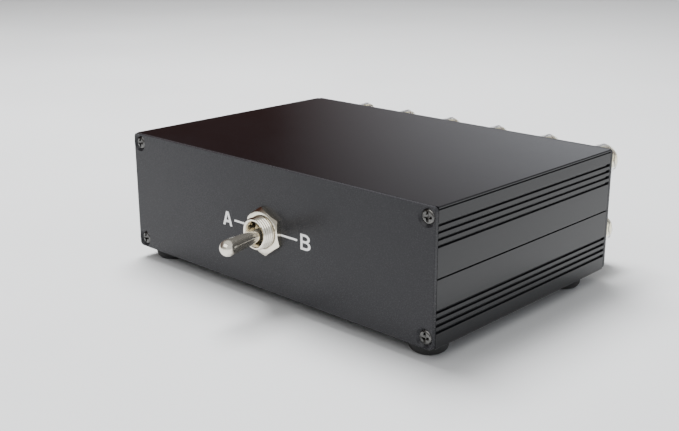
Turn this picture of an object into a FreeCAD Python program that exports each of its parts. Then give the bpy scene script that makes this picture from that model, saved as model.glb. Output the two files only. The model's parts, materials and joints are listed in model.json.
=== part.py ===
import FreeCAD, Part

import math
import os

from FreeCAD import Vector

# Two-way speaker selector switch: an extruded aluminium box with a four-pole toggle
# switch on the front and twelve binding posts on the rear.
#
# Everything is drawn in the front panel's frame: X to the right seen from the front,
# Y backwards from the panel's outer face, Z up from the underside of the box.
# save() then puts the whole object on its feet, with the origin in the middle of
# the floor area that it covers.

# ---------------------------------------------------------------- driving dimensions

# enclosure
BOX_W = 155.0               # outside width
BOX_H = 47.5                # outside height, without the feet
BODY_LENGTH = 103.0         # length of the two extruded half shells
PANEL_T = 1.6               # end panel thickness
SIDE_WALL = 3.0
FLAT_WALL = 2.2             # roof and floor of the shells
SHELL_EDGE_R = 1.2          # rounding of the long outer edges
PANEL_CORNER_R = 1.6
SEAM_GAP = 0.35             # visible joint line between the two shells
TONGUE_T = 1.35             # tongue of the lower shell, inside the upper shell's skirt
TONGUE_H = 2.0
TONGUE_ROOT = 3.0           # how far down the wall the tongue starts
TONGUE_CLEARANCE = 0.10

# decorative grooves along both sides
GROOVE_COUNT = 4
GROOVE_FIRST = 5.8          # first groove centre from the outer flat face
GROOVE_PITCH = 2.33
GROOVE_W = 1.1
GROOVE_FLOOR_W = 0.6
GROOVE_D = 0.85

# screw slots in the corners of the extrusion, for the panel screws
SCREW_EDGE_X = 3.5          # screw axis from the side face
SCREW_EDGE_Z = 3.65         # screw axis from the roof or floor face
SLOT_W = 2.5
SINK_AF = 6.7               # countersink at the panel's face, sloping at 45 degrees
SINK_SIDES = 12
SCREW_HEAD_SUNK = 0.35      # head's face below the panel's face
SCREW_CORE_AF = 2.3
SCREW_CORE_SIDES = 8
SCREW_LENGTH = 9.5          # from the panel's outer face
BOSS_W = 7.4
BOSS_H = 7.2

# board guides inside the side walls
GUIDE_Z = 14.6              # lower rib from the outer flat face
GUIDE_GAP = 2.0
GUIDE_T = 1.2
GUIDE_REACH = 2.2

# rubber feet, stuck on
FOOT_R = 7.2
FOOT_SOLE_R = 6.4
FOOT_SIDES = 24
FOOT_H = 5.0
FOOT_FRONT_Y = 9.8
FOOT_REAR_Y = 15.2          # rear feet from the rear face
FOOT_X = 68.2

# toggle switch, outside
TOGGLE_X = 0.3
TOGGLE_Z = 23.15            # a little below mid-height
BUSHING_R = 6.0
BUSHING_BORE_R = 4.7
BUSHING_REACH = 5.8         # in front of the panel
BUSHING_HOLE_R = 6.1
NUT_AF = 16.0
NUT_T = 2.1
NUT_TURN = 5.5              # degrees from corner-up, as tightened
BACK_NUT_AF = 15.0
BACK_NUT_TURN = 30.0
LEVER_TILT = 11.0           # degrees each side of the middle
PIVOT_DEPTH = 3.2           # lever pivot behind the panel's outer face
LEVER_LENGTH = 25.5         # pivot to the centre of the round tip
LEVER_TIP_R = 3.0
LEVER_NECK_R = 2.3
LEVER_NECK_LENGTH = 10.0    # straight neck in front of the pivot
HUB_HALF = 2.5
HUB_HALF_Z = 3.1
PIVOT_PIN_R = 1.0
PIVOT_PIN_HALF = 5.7
RUNNING_CLEARANCE = 0.06

# toggle switch, inside
FRAME_T = 0.9
FRAME_STRAP_HALF = 11.0
FRAME_TAB_PLACES = (-9.0, 5.0)
FRAME_TAB_W = 4.0
FRAME_TAB_REACH = 2.2       # under the edge of the case
CASE_X = 15.0               # half width of the case
CASE_Z = 18.0               # half height of the case
CASE_WALL = 1.9
CASE_DEPTH = 19.5
CASE_BASE_T = 3.0
POLE_COUNT = 4
POLE_PITCH = 8.0
BARRIER_T = 1.2
BARRIER_FRONT = 14.3
BARRIER_ROOT = 0.5          # the barriers' roots in the case walls
TAIL_HALF = 1.6
TAIL_HALF_Z = 2.0
TAIL_LENGTH = 8.2
YOKE_NEAR = 4.4             # lever pivot to the near face of the plunger yoke
YOKE_FAR = 10.0
YOKE_X = 3.1
YOKE_Z = 14.6
PLUNGER_R = 1.2             # round nose and half thickness of a plunger
PLUNGER_HALF_W = 1.5
PLUNGER_ARM = 12.0          # lever pivot to the centre of the plunger's nose
PLUNGER_BACK = 8.8
SLIDE_CLEARANCE = 0.10
SPRING_SEAT = 5.4
SPRING_HALF_X = 0.8
SPRING_HALF_W = 1.2
SPRING_STRIP = 0.5          # the strip's thickness, measured across the spring
SPRING_FOLDS = 6

# contact rockers
ROCKER_TILT = 9.0           # degrees each side of the middle
BLADE_T = 0.8
BLADE_W = 4.4
SEAT_SPAN = 1.12            # the curved seat runs this much past the lever's tilt
CONTACT_GAP = 0.12          # working gap between the parts that press on each other
FULCRUM_HALF = 1.3          # block under the seat, notched for the knife edge
FULCRUM_DEPTH = 0.7
NOTCH_HALF_W = 0.76
CONTACT_X = 6.4
CONTACT_HALF_W = 1.3
CONTACT_T = 0.5
ARM_LENGTH = 5.0

# terminals of the switch
TERMINAL_PITCH = 10.0
TERMINAL_T = 0.8
TERMINAL_W = 4.0
KNIFE_LENGTH = 0.86         # sharpened end of the middle terminal
LUG_W = 3.2
LUG_START = 1.0             # behind the case
LUG_EYE_LENGTH = 2.0
LUG_EYE_W = 1.1
LUG_EYE_EDGE = 1.6          # eye from the lug's end
LUG_END = 33.0              # behind the panel's outer face

# binding posts
POST_COLUMNS = 6
POST_PITCH = 25.4
POST_ROW_Z = 14.25          # each row above or below mid-height
POST_REACH = 20.0           # behind the rear panel
STEM_R = 3.0                # to the stem's flats
STEM_TOP = 19.4
SOCKET_R = 2.0              # for 4 mm banana plugs
SOCKET_DEPTH = 12.8
STUD_END = 7.0              # stud behind the panel's inner face
POST_SIDES = 12             # flats around the stems, the plastic parts and the bores
RING_AF = 12.4              # coloured insulator on the panel
RING_T = 3.2
KEY_W = 7.8                 # square shoulder that keys the insulator in the panel
KEY_T = 1.3
KEY_CLEARANCE = 0.1
CORE_AF = 8.0
CAP_AF = 12.2
CAP_POCKET_AF = 9.4
CAP_FRONT = 4.9             # sleeve's near end, from the panel
CAP_END_INSET = 0.9         # sleeve's far end, inside the core's end
TAG_T = 0.8
TAG_W = 3.4
TAG_TOP = 2.4               # solder tag beyond the stud's axis
TAG_OFFSET = 6.0            # bent tab from the stud's axis
TAG_END = 8.0               # tab's length towards the front

# hook-up wire
WIRE_SIDE = 1.6
WIRE_TURN_NEAR = 42.5       # where the wires of the inner poles turn to the lugs
WIRE_TURN_FAR = 46.0
WIRE_RUN_NEAR = 12.0        # straight run from the tags
WIRE_RUN_FAR = 17.0

# ------------------------------------------------------------------- worked-out places

REAR_FACE = BODY_LENGTH + 2 * PANEL_T
REAR_INNER = REAR_FACE - PANEL_T
SHELL_SPAN = (PANEL_T, PANEL_T + BODY_LENGTH)
MID_Z = BOX_H / 2
TILT = math.radians(LEVER_TILT)
ROCK = math.radians(ROCKER_TILT)
ROCK_RATIO = ROCKER_TILT / LEVER_TILT
LEVER_REACH = LEVER_LENGTH * math.cos(TILT) - PIVOT_DEPTH + LEVER_TIP_R
FRONT_Y = LEVER_REACH - (LEVER_REACH + REAR_FACE + POST_REACH) / 2
ROCKER_ARM = PLUNGER_ARM + PLUNGER_R + CONTACT_GAP + 2 * BLADE_T + RUNNING_CLEARANCE
ROCKER_Y = PIVOT_DEPTH + ROCKER_ARM
FRAME_Y = PIVOT_DEPTH + PIVOT_PIN_R     # the frame's plate closes the pin's slot
CASE_Y = FRAME_Y + FRAME_T
CASE_END = CASE_Y + CASE_DEPTH
STUD_BACK = REAR_INNER - STUD_END
PIVOT = Vector(TOGGLE_X, PIVOT_DEPTH, TOGGLE_Z)
ROCKER_PIVOT = Vector(TOGGLE_X, ROCKER_Y, TOGGLE_Z)

UP = Vector(0, 0, 1)
BACK = Vector(0, 1, 0)


# ------------------------------------------------------------------------ basic shapes

def box(x, y, z):
    """A block from three (low, high) pairs."""
    return Part.makeBox(x[1] - x[0], y[1] - y[0], z[1] - z[0], Vector(x[0], y[0], z[0]))


def around(middle, half):
    """The (low, high) pair of a span about its middle."""
    return middle - half, middle + half


def rod(radius, y, x=0.0, z=0.0):
    """A round bar along Y between the two values of y."""
    return Part.makeCylinder(radius, y[1] - y[0], Vector(x, y[0], z), BACK)


def upright(radius, z, x=0.0, y=0.0):
    """A round bar along Z between the two values of z."""
    return Part.makeCylinder(radius, z[1] - z[0], Vector(x, y, z[0]), UP)


def prism(points, direction):
    """A straight-sided solid on a closed outline of points."""
    return Part.Face(Part.makePolygon(points + points[:1])).extrude(direction)


def polygon(sides, across, y, x=0.0, z=0.0, turn=0.0):
    """The section at y of a regular bar, one corner turned by so many degrees from up."""
    corner = across / 2 / math.cos(math.pi / sides)
    angles = [math.radians(90 + turn + 360 * i / sides) for i in range(sides)]
    points = [Vector(x + corner * math.cos(a), y, z + corner * math.sin(a)) for a in angles]
    return Part.makePolygon(points + points[:1])


def flats(sides, across, y, x=0.0, z=0.0, turn=0.0):
    """A regular bar along Y between the two values of y."""
    section = Part.Face(polygon(sides, across, y[0], x, z, turn))
    return section.extrude(Vector(0, y[1] - y[0], 0))


def tapered(sides, across, y, x=0.0, z=0.0):
    """A regular bar along Y whose width goes from one value of across to the other."""
    ends = [polygon(sides, width, place, x, z) for width, place in zip(across, y)]
    near, far = [[vertex.Point for vertex in end.OrderedVertexes] for end in ends]
    faces = [Part.Face(end) for end in ends]
    for i in range(sides):
        j = (i + 1) % sides
        faces.append(Part.Face(Part.makePolygon([near[i], near[j], far[j], far[i], near[i]])))
    shell = Part.makeShell(faces)
    shell.sewShape()
    return Part.makeSolid(shell)


def ring(outer, inner, y, x=0.0, z=0.0):
    """A flat washer or sleeve along Y."""
    return rod(outer, y, x, z).cut(rod(inner, y, x, z))


def edges_along_y(shape, corners):
    """The edges parallel to Y that pass through one of the (x, z) corners."""
    found = []
    for edge in shape.Edges:
        a, b = edge.Vertexes[0].Point, edge.Vertexes[-1].Point
        straight = abs(a.x - b.x) < 1e-6 and abs(a.z - b.z) < 1e-6 and abs(a.y - b.y) > 1e-6
        if straight and any(abs(a.x - x) < 1e-4 and abs(a.z - z) < 1e-4 for x, z in corners):
            found.append(edge)
    return found


def swing(shape, degrees, centre):
    """A copy turned about the vertical axis through a point."""
    turned_shape = shape.copy()
    turned_shape.rotate(centre, UP, degrees)
    return turned_shape


def save(node, *solids):
    """Write one node, placed in the object's own frame on its feet."""
    shape = Part.Compound(list(solids)) if len(solids) > 1 else solids[0].copy()
    shape.translate(Vector(0, FRONT_Y, FOOT_H))
    shape.exportStep("parts/%s.step" % node)


# ---------------------------------------------------------------------------- enclosure

def side_groove(side, z):
    """The cutter for one tapered groove in a side face."""
    x = side * BOX_W / 2
    wide, narrow = GROOVE_W / 2, GROOVE_FLOOR_W / 2
    flare = wide + (wide - narrow) / GROOVE_D
    outline = [(side, -flare), (-side * GROOVE_D, -narrow), (-side * GROOVE_D, narrow), (side, flare)]
    points = [Vector(x + dx, SHELL_SPAN[0], z + dz) for dx, dz in outline]
    return prism(points, Vector(0, BODY_LENGTH, 0))


def half_shell(skirt_top):
    """A half shell standing on its flat face, with its side walls up to skirt_top."""
    half_w = BOX_W / 2
    inner = half_w - SIDE_WALL
    shell = box((-half_w, half_w), SHELL_SPAN, (0, skirt_top))
    long_edges = edges_along_y(shell, [(-half_w, 0), (half_w, 0)])
    shell = shell.makeFillet(SHELL_EDGE_R, long_edges)
    shell = shell.cut(box((-inner, inner), SHELL_SPAN, (FLAT_WALL, skirt_top + 1)))
    extras = []
    cutters = []
    for side in (-1, 1):
        axis_x = side * (half_w - SCREW_EDGE_X)
        boss_x = sorted((side * inner, side * (half_w - BOSS_W)))
        extras.append(box(boss_x, SHELL_SPAN, (FLAT_WALL, BOSS_H)))
        rib_x = sorted((side * inner, side * (inner - GUIDE_REACH)))
        for low in (GUIDE_Z, GUIDE_Z + GUIDE_GAP + GUIDE_T):
            extras.append(box(rib_x, SHELL_SPAN, (low, low + GUIDE_T)))
        slot_x = sorted((axis_x + side * SLOT_W / 2, axis_x - side * BOSS_W))
        cutters.append(box(slot_x, SHELL_SPAN, around(SCREW_EDGE_Z, SLOT_W / 2)))
        for i in range(GROOVE_COUNT):
            cutters.append(side_groove(side, GROOVE_FIRST + GROOVE_PITCH * i))
    return shell.fuse(extras).removeSplitter().cut(cutters)


def lower_shell():
    """The floor half, with a tongue that enters the roof half along both sides."""
    tongues = []
    for side in (-1, 1):
        inner = side * (BOX_W / 2 - SIDE_WALL)
        tongue_x = sorted((inner, inner + side * TONGUE_T))
        tongues.append(box(tongue_x, SHELL_SPAN, (MID_Z - TONGUE_ROOT, MID_Z + TONGUE_H)))
    return half_shell(MID_Z - SEAM_GAP / 2).fuse(tongues).removeSplitter()


def upper_shell():
    """The roof half: its skirt passes outside the tongue and rests on it."""
    rabbets = []
    for side in (-1, 1):
        inner = side * (BOX_W / 2 - SIDE_WALL)
        rabbet_x = sorted((inner - side, inner + side * (TONGUE_T + TONGUE_CLEARANCE)))
        rabbets.append(box(rabbet_x, SHELL_SPAN, (MID_Z - TONGUE_H, MID_Z)))
    return half_shell(MID_Z - SEAM_GAP / 2).cut(rabbets).mirror(Vector(0, 0, MID_Z), UP)


SCREW_PLACES = [(side * (BOX_W / 2 - SCREW_EDGE_X), z)
                for side in (-1, 1) for z in (SCREW_EDGE_Z, BOX_H - SCREW_EDGE_Z)]


def countersink(place, face, inwards, sunk):
    """The taper of a countersink, from so far below a panel's face to the plate's back."""
    across = (SINK_AF - 2 * sunk, SINK_AF - 2 * PANEL_T)
    return tapered(SINK_SIDES, across, (face + inwards * sunk, face + inwards * PANEL_T), *place)


def end_panel(face, inwards):
    """A flat end plate with rounded corners and a countersunk screw hole in each."""
    half_w = BOX_W / 2
    plate = box((-half_w, half_w), sorted((face, face + inwards * PANEL_T)), (0, BOX_H))
    corners = [(sx * half_w, z) for sx in (-1, 1) for z in (0, BOX_H)]
    holes = [countersink(place, face, inwards, 0) for place in SCREW_PLACES]
    return plate.makeFillet(PANEL_CORNER_R, edges_along_y(plate, corners)).cut(holes)


def front_panel():
    """The front plate, with the round hole for the switch."""
    return end_panel(0, 1).cut(rod(BUSHING_HOLE_R, (0, PANEL_T), TOGGLE_X, TOGGLE_Z))


def rear_panel():
    """The rear plate, with a square hole for each post's keyed insulator."""
    half = KEY_W / 2 + KEY_CLEARANCE
    span = (REAR_INNER, REAR_FACE)
    holes = [box(around(x, half), span, around(z, half)) for x, z, _ in POST_PLACES]
    return end_panel(REAR_FACE, -1).cut(holes)


def panel_screws():
    """The screws of both panels: a countersunk head, and the core in the shells' slots."""
    screws = []
    for place in SCREW_PLACES:
        for face, inwards in ((0, 1), (REAR_FACE, -1)):
            head = countersink(place, face, inwards, SCREW_HEAD_SUNK)
            core_y = sorted((face + inwards * PANEL_T, face + inwards * SCREW_LENGTH))
            screws.append(head.fuse(flats(SCREW_CORE_SIDES, SCREW_CORE_AF, core_y, *place)))
    return screws


def rubber_feet():
    """Four tapered bumpers, stuck to the underside."""
    foot = tapered(FOOT_SIDES, (2 * FOOT_SOLE_R, 2 * FOOT_R), (-FOOT_H, 0))
    foot.rotate(Vector(0, 0, 0), Vector(1, 0, 0), 90)
    return [foot.translated(Vector(side * FOOT_X, y, 0))
            for side in (-1, 1) for y in (FOOT_FRONT_Y, REAR_FACE - FOOT_REAR_Y)]


# ------------------------------------------------------------------------ toggle switch

POLE_Z = [TOGGLE_Z + POLE_PITCH * (i - (POLE_COUNT - 1) / 2) for i in range(POLE_COUNT)]


def switch_bushing():
    """The neck in the panel, slotted from behind for the pivot pin."""
    tube = ring(BUSHING_R, BUSHING_BORE_R, (-BUSHING_REACH, FRAME_Y), TOGGLE_X, TOGGLE_Z)
    slot_y = (PIVOT_DEPTH - PIVOT_PIN_R, FRAME_Y)
    return tube.cut(box(around(TOGGLE_X, PIVOT_PIN_R), slot_y, around(TOGGLE_Z, BUSHING_R)))


def lever_pivot_pin():
    """The cross pin that the lever swings on, held in its slot by the frame."""
    return upright(PIVOT_PIN_R, around(TOGGLE_Z, PIVOT_PIN_HALF), TOGGLE_X, PIVOT_DEPTH)


def bushing_nut(across, y, turn):
    """A hexagonal nut on the bushing."""
    hexagon = flats(6, across, y, TOGGLE_X, TOGGLE_Z, turn)
    return hexagon.cut(rod(BUSHING_R, y, TOGGLE_X, TOGGLE_Z))


def lever_tail():
    """The flat-sided tail behind the pivot, in the middle position."""
    return box(around(TOGGLE_X, TAIL_HALF), (PIVOT_DEPTH, PIVOT_DEPTH + TAIL_LENGTH),
               around(TOGGLE_Z, TAIL_HALF_Z))


def toggle_lever():
    """The bat handle, its hub on the cross pin and its tail, in the middle position."""
    y0 = PIVOT_DEPTH
    tip = y0 - LEVER_LENGTH
    slant = LEVER_TIP_R * math.sqrt(0.5)

    def at(r, y):
        return Vector(TOGGLE_X + r, y, TOGGLE_Z)

    nose = Part.Arc(at(0, tip - LEVER_TIP_R), at(slant, tip - slant), at(LEVER_TIP_R, tip))
    sides = Part.makePolygon([at(LEVER_TIP_R, tip), at(LEVER_NECK_R, y0 - LEVER_NECK_LENGTH),
                              at(LEVER_NECK_R, y0), at(0, y0), at(0, tip - LEVER_TIP_R)])
    handle = Part.Face(Part.Wire([nose.toShape()] + sides.Edges)).revolve(at(0, 0), BACK, 360)
    hub = box(around(TOGGLE_X, HUB_HALF), around(y0, HUB_HALF), around(TOGGLE_Z, HUB_HALF_Z))
    bore = upright(PIVOT_PIN_R + RUNNING_CLEARANCE, around(TOGGLE_Z, HUB_HALF_Z), TOGGLE_X, y0)
    return handle.fuse([hub, lever_tail()]).removeSplitter().cut(bore)


def plunger_yoke():
    """The insulating block on the lever's tail, with a pocket for one plunger per pole."""
    y0 = PIVOT_DEPTH
    block = box(around(TOGGLE_X, YOKE_X), (y0 + YOKE_NEAR, y0 + YOKE_FAR),
                around(TOGGLE_Z, YOKE_Z))
    pockets = [box(around(TOGGLE_X, PLUNGER_R + SLIDE_CLEARANCE),
                   (y0 + SPRING_SEAT, y0 + YOKE_FAR),
                   around(z, PLUNGER_HALF_W + SLIDE_CLEARANCE)) for z in POLE_Z]
    return block.cut(pockets + [lever_tail()])


def plunger(z):
    """A flat contact plunger with a round nose."""
    back, arm = PIVOT_DEPTH + PLUNGER_BACK, PIVOT_DEPTH + PLUNGER_ARM

    def at(x, y):
        return Vector(TOGGLE_X + x, y, z - PLUNGER_HALF_W)

    nose = Part.Arc(at(PLUNGER_R, arm), at(0, arm + PLUNGER_R), at(-PLUNGER_R, arm)).toShape()
    shank = Part.makePolygon([at(-PLUNGER_R, arm), at(-PLUNGER_R, back), at(PLUNGER_R, back),
                              at(PLUNGER_R, arm)])
    outline = Part.Wire([nose] + shank.Edges)
    return Part.Face(outline).extrude(Vector(0, 0, 2 * PLUNGER_HALF_W))


def plunger_spring(z):
    """The folded strip spring behind one plunger."""
    near, far = PIVOT_DEPTH + SPRING_SEAT, PIVOT_DEPTH + PLUNGER_BACK
    step = (far - near) / SPRING_FOLDS
    reach = SPRING_HALF_X - SPRING_STRIP / 2
    folds = [(TOGGLE_X + reach * (-1) ** i, near + step * i) for i in range(SPRING_FOLDS + 1)]
    sides = [[Vector(x + side * SPRING_STRIP / 2, y, z - SPRING_HALF_W) for x, y in folds]
             for side in (-1, 1)]
    return prism(sides[0] + sides[1][::-1], Vector(0, 0, 2 * SPRING_HALF_W))


def tip_track(angle, offset):
    """A point of the track that a plunger draws on its rocker, in the rocker's own frame.

    The lever turns by angle while the rocker turns the other way by ROCK_RATIO times as
    much. Seen from the rocker, the centre of the plunger's nose follows this track; the
    point returned lies offset beyond it, square to the track and away from the lever.
    """
    turn = ROCK_RATIO * angle
    vx, vy = -PLUNGER_ARM * math.sin(angle), PLUNGER_ARM * math.cos(angle) - ROCKER_ARM
    wx, wy = -PLUNGER_ARM * math.cos(angle), -PLUNGER_ARM * math.sin(angle)
    c, s = math.cos(turn), math.sin(turn)
    x, y = vx * c - vy * s, vx * s + vy * c
    dx = wx * c - wy * s - ROCK_RATIO * y
    dy = wx * s + wy * c + ROCK_RATIO * x
    size = math.hypot(dx, dy)
    return x + dy / size * offset, y - dx / size * offset


SEAT_OFFSET = PLUNGER_R + CONTACT_GAP


def seat_end(offset=SEAT_OFFSET):
    """Where the rocker's curved seat turns into its straight arm, on the +X side."""
    x, y = tip_track(-TILT * SEAT_SPAN, offset)
    return x, y


def closed_contact_y():
    """The moving contact's face when its arm lies square to the switch, behind the panel."""
    x, y = seat_end()
    return ROCKER_Y + y * math.cos(ROCK) + x * math.sin(ROCK) + BLADE_T + CONTACT_T


def contact_rocker(z):
    """A see-saw contact: a seat shaped to the plunger's track, and an arm to each side.

    The arms slope towards the lever by ROCKER_TILT, so that the closed one lies square
    to the switch. Its contact then stands CONTACT_X from the middle.
    """
    def at(x, y):
        return Vector(TOGGLE_X + x, ROCKER_Y + y, z - BLADE_W / 2)

    def seat(offset):
        """An arc along the plunger's track, and its two ends."""
        x, y = seat_end(offset)
        middle = tip_track(0, offset)
        return Part.Arc(at(-x, y), at(*middle), at(x, y)).toShape(), (x, y)

    def arm_point(along, depth):
        """A point of the +X arm: along its top face, and below that face."""
        x, y = seat_end()
        return (x + along * math.cos(ROCK) + depth * math.sin(ROCK),
                y - along * math.sin(ROCK) + depth * math.cos(ROCK))

    x, y = seat_end()
    contact = CONTACT_X - x * math.cos(ROCK) + y * math.sin(ROCK)
    inner, outer = around(contact, CONTACT_HALF_W)
    face = BLADE_T + CONTACT_T
    top, top_end = seat(SEAT_OFFSET)
    under, under_end = seat(SEAT_OFFSET + BLADE_T)
    arm = [top_end, arm_point(ARM_LENGTH, 0), arm_point(ARM_LENGTH, BLADE_T),
           arm_point(outer, BLADE_T), arm_point(outer, face), arm_point(inner, face),
           arm_point(inner, BLADE_T), under_end]
    outline = [top, under]
    for side in (-1, 1):
        outline += Part.makePolygon([at(side * px, py) for px, py in arm]).Edges
    width = Vector(0, 0, BLADE_W)
    blade = Part.Face(Part.Wire(Part.__sortEdges__(outline))).extrude(width)

    block = [(-FULCRUM_HALF, -BLADE_T - FULCRUM_HALF / 2), (-FULCRUM_HALF, FULCRUM_DEPTH),
             (-NOTCH_HALF_W, FULCRUM_DEPTH), (0, -RUNNING_CLEARANCE),
             (NOTCH_HALF_W, FULCRUM_DEPTH), (FULCRUM_HALF, FULCRUM_DEPTH),
             (FULCRUM_HALF, -BLADE_T - FULCRUM_HALF / 2)]
    fulcrum = prism([at(px, py) for px, py in block], width)
    return blade.fuse(fulcrum).removeSplitter()


def lug(x, z, front):
    """A flat strip through the case base that narrows to a solder lug with an eye."""
    thick = around(x, TERMINAL_T / 2)
    start = CASE_END + LUG_START
    eye_end = LUG_END - LUG_EYE_EDGE
    strip = box(thick, (front, start), around(z, TERMINAL_W / 2))
    tail = box(thick, (start, LUG_END), around(z, LUG_W / 2))
    eye = box(around(x, TERMINAL_T), (eye_end - LUG_EYE_LENGTH, eye_end), around(z, LUG_EYE_W / 2))
    return strip.fuse(tail).removeSplitter().cut(eye)


def common_terminal(z):
    """The middle terminal: its sharpened end is the knife edge that the rocker sits on."""
    half = TERMINAL_T / 2
    knife = ROCKER_Y + KNIFE_LENGTH
    low_z = z - TERMINAL_W / 2
    points = [Vector(TOGGLE_X, ROCKER_Y, low_z), Vector(TOGGLE_X + half, knife, low_z),
              Vector(TOGGLE_X - half, knife, low_z)]
    edge = prism(points, Vector(0, 0, TERMINAL_W))
    return lug(TOGGLE_X, z, knife).fuse(edge).removeSplitter()


def throw_terminal(side, z):
    """An outer terminal, bent inwards to carry the fixed contact."""
    x = TOGGLE_X + side * TERMINAL_PITCH
    contact_x = TOGGLE_X + side * CONTACT_X
    face = closed_contact_y() + CONTACT_GAP
    shelf_y = (face + CONTACT_T, face + CONTACT_T + TERMINAL_T)
    shelf_x = sorted((x + side * TERMINAL_T / 2, contact_x - side * CONTACT_HALF_W))
    shelf = box(shelf_x, shelf_y, around(z, TERMINAL_W / 2))
    button = box(around(contact_x, CONTACT_HALF_W), (face, shelf_y[0]), around(z, BLADE_W / 2))
    return lug(x, z, shelf_y[0]).fuse([shelf, button]).removeSplitter()


def switch_case(terminals):
    """The moulded case, with a barrier between poles and a slot for every terminal."""
    x = around(TOGGLE_X, CASE_X)
    z = around(TOGGLE_Z, CASE_Z)
    room_x = (x[0] + CASE_WALL, x[1] - CASE_WALL)
    room_z = (z[0] + CASE_WALL, z[1] - CASE_WALL)
    case = box(x, (CASE_Y, CASE_END), z)
    case = case.cut(box(room_x, (CASE_Y, CASE_END - CASE_BASE_T), room_z))
    barrier_x = (room_x[0] - BARRIER_ROOT, room_x[1] + BARRIER_ROOT)
    barriers = []
    for low, high in zip(POLE_Z, POLE_Z[1:]):
        barriers.append(box(barrier_x, (BARRIER_FRONT, CASE_END - BARRIER_ROOT),
                            around((low + high) / 2, BARRIER_T / 2)))
    return case.fuse(barriers).removeSplitter().cut(terminals)


def switch_frame():
    """The steel frame: front plate, two side straps and four tabs bent under the case."""
    edge = CASE_X + FRAME_T
    span = (FRAME_Y, FRAME_Y + FRAME_T)
    parts = []
    for side in (-1, 1):
        strap_x = sorted((TOGGLE_X + side * CASE_X, TOGGLE_X + side * edge))
        tab_x = sorted((TOGGLE_X + side * edge, TOGGLE_X + side * (CASE_X - FRAME_TAB_REACH)))
        parts.append(box(strap_x, (FRAME_Y, CASE_END), around(TOGGLE_Z, FRAME_STRAP_HALF)))
        for low in FRAME_TAB_PLACES:
            tab_z = (TOGGLE_Z + low, TOGGLE_Z + low + FRAME_TAB_W)
            parts.append(box(tab_x, (CASE_END, CASE_END + FRAME_T), tab_z))
            parts.append(box(strap_x, (CASE_END, CASE_END + FRAME_T), tab_z))
    plate = box(around(TOGGLE_X, edge), span, around(TOGGLE_Z, CASE_Z))
    opening = rod(BUSHING_BORE_R, span, TOGGLE_X, TOGGLE_Z)
    return plate.fuse(parts).removeSplitter().cut(opening)


# ------------------------------------------------------------------------ binding posts

def post_places():
    """(x, z, row) of every post, left to right, the upper row first.

    The upper row takes the positive conductors, the lower row the negative ones.
    """
    first = -POST_PITCH * (POST_COLUMNS - 1) / 2
    return [(first + POST_PITCH * i, MID_Z + row * POST_ROW_Z, row)
            for row in (1, -1) for i in range(POST_COLUMNS)]


POST_PLACES = post_places()
POSITIVE = [place for place in POST_PLACES if place[2] > 0]
NEGATIVE = [place for place in POST_PLACES if place[2] < 0]


def post_stem(place):
    """The plated brass stem: a threaded bar with the plug's socket in its end."""
    x, z, _ = place
    top = REAR_FACE + STEM_TOP
    bar = flats(POST_SIDES, 2 * STEM_R, (STUD_BACK, top), x, z)
    return bar.cut(rod(SOCKET_R, (top - SOCKET_DEPTH, top), x, z))


def post_ring(place):
    """The coloured insulator, with the square shoulder that keys it in the panel."""
    x, z, _ = place
    y = (REAR_FACE - KEY_T, REAR_FACE + RING_T)
    key = box(around(x, KEY_W / 2), (y[0], REAR_FACE), around(z, KEY_W / 2))
    collar = flats(POST_SIDES, RING_AF, (REAR_FACE, y[1]), x, z)
    return collar.fuse(key).cut(flats(POST_SIDES, 2 * STEM_R, y, x, z))


def solder_tag(place):
    """A tag on the stud's end, with its tab bent forwards on the inner side."""
    x, z, row = place
    outer_z = z - row * (TAG_OFFSET + TAG_T / 2)
    inner_z = z - row * (TAG_OFFSET - TAG_T / 2)
    width = around(x, TAG_W / 2)
    plate = box(width, (STUD_BACK - TAG_T, STUD_BACK), sorted((z + row * TAG_TOP, outer_z)))
    tab = box(width, (STUD_BACK - TAG_END, STUD_BACK), sorted((inner_z, outer_z)))
    return plate.fuse(tab).removeSplitter()


def cap_core(place):
    """The hexagonal brass insert of a cap, on the stem's thread."""
    x, z, _ = place
    y = (REAR_FACE + RING_T + RUNNING_CLEARANCE, REAR_FACE + POST_REACH)
    bore_af = 2 * (STEM_R + RUNNING_CLEARANCE)
    return flats(6, CORE_AF, y, x, z).cut(flats(POST_SIDES, bore_af, y, x, z))


def post_cap(place):
    """The clear finger grip around the core, a sleeve with flats."""
    x, z, _ = place
    y = (REAR_FACE + CAP_FRONT, REAR_FACE + POST_REACH - CAP_END_INSET)
    return flats(POST_SIDES, CAP_AF, y, x, z).cut(flats(POST_SIDES, CAP_POCKET_AF, y, x, z))


# -------------------------------------------------------------------------- hook-up wire

def hookup_wire(points):
    """One insulated wire along a route, square in section, with mitred corners."""
    x, y, z = points[0]
    half = WIRE_SIDE / 2
    corners = [Vector(x + sx * half, y, z + sz * half)
               for sx, sz in ((-1, -1), (1, -1), (1, 1), (-1, 1), (-1, -1))]
    mitred = 1
    return Part.makePolygon(points).makePipeShell([Part.makePolygon(corners)], True, False, mitred)


def wire_route(place):
    """From a post's solder tag to its own lug on the switch.

    The posts stand in three pairs of columns, one pair to each column of terminals. The
    outer post of a pair feeds the outer pole on its side of mid-height, and the inner
    post the inner pole, so that no two wires cross.
    """
    x, z, row = place
    column = round((x + POST_PITCH * (POST_COLUMNS - 1) / 2) / POST_PITCH)
    group = column // 2 - 1
    outer_post = column in (0, 2, 5)
    terminal_x = TOGGLE_X + group * TERMINAL_PITCH
    pole_z = TOGGLE_Z + row * POLE_PITCH * (1.5 if outer_post else 0.5)
    tag_z = z - row * TAG_OFFSET
    start_y = STUD_BACK - TAG_END
    leave_y = start_y - (WIRE_RUN_FAR if outer_post else WIRE_RUN_NEAR)
    turn_y = WIRE_TURN_FAR if outer_post else WIRE_TURN_NEAR
    return [Vector(x, start_y, tag_z), Vector(x, leave_y, tag_z),
            Vector(terminal_x, turn_y, pole_z), Vector(terminal_x, LUG_END, pole_z)]


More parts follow.
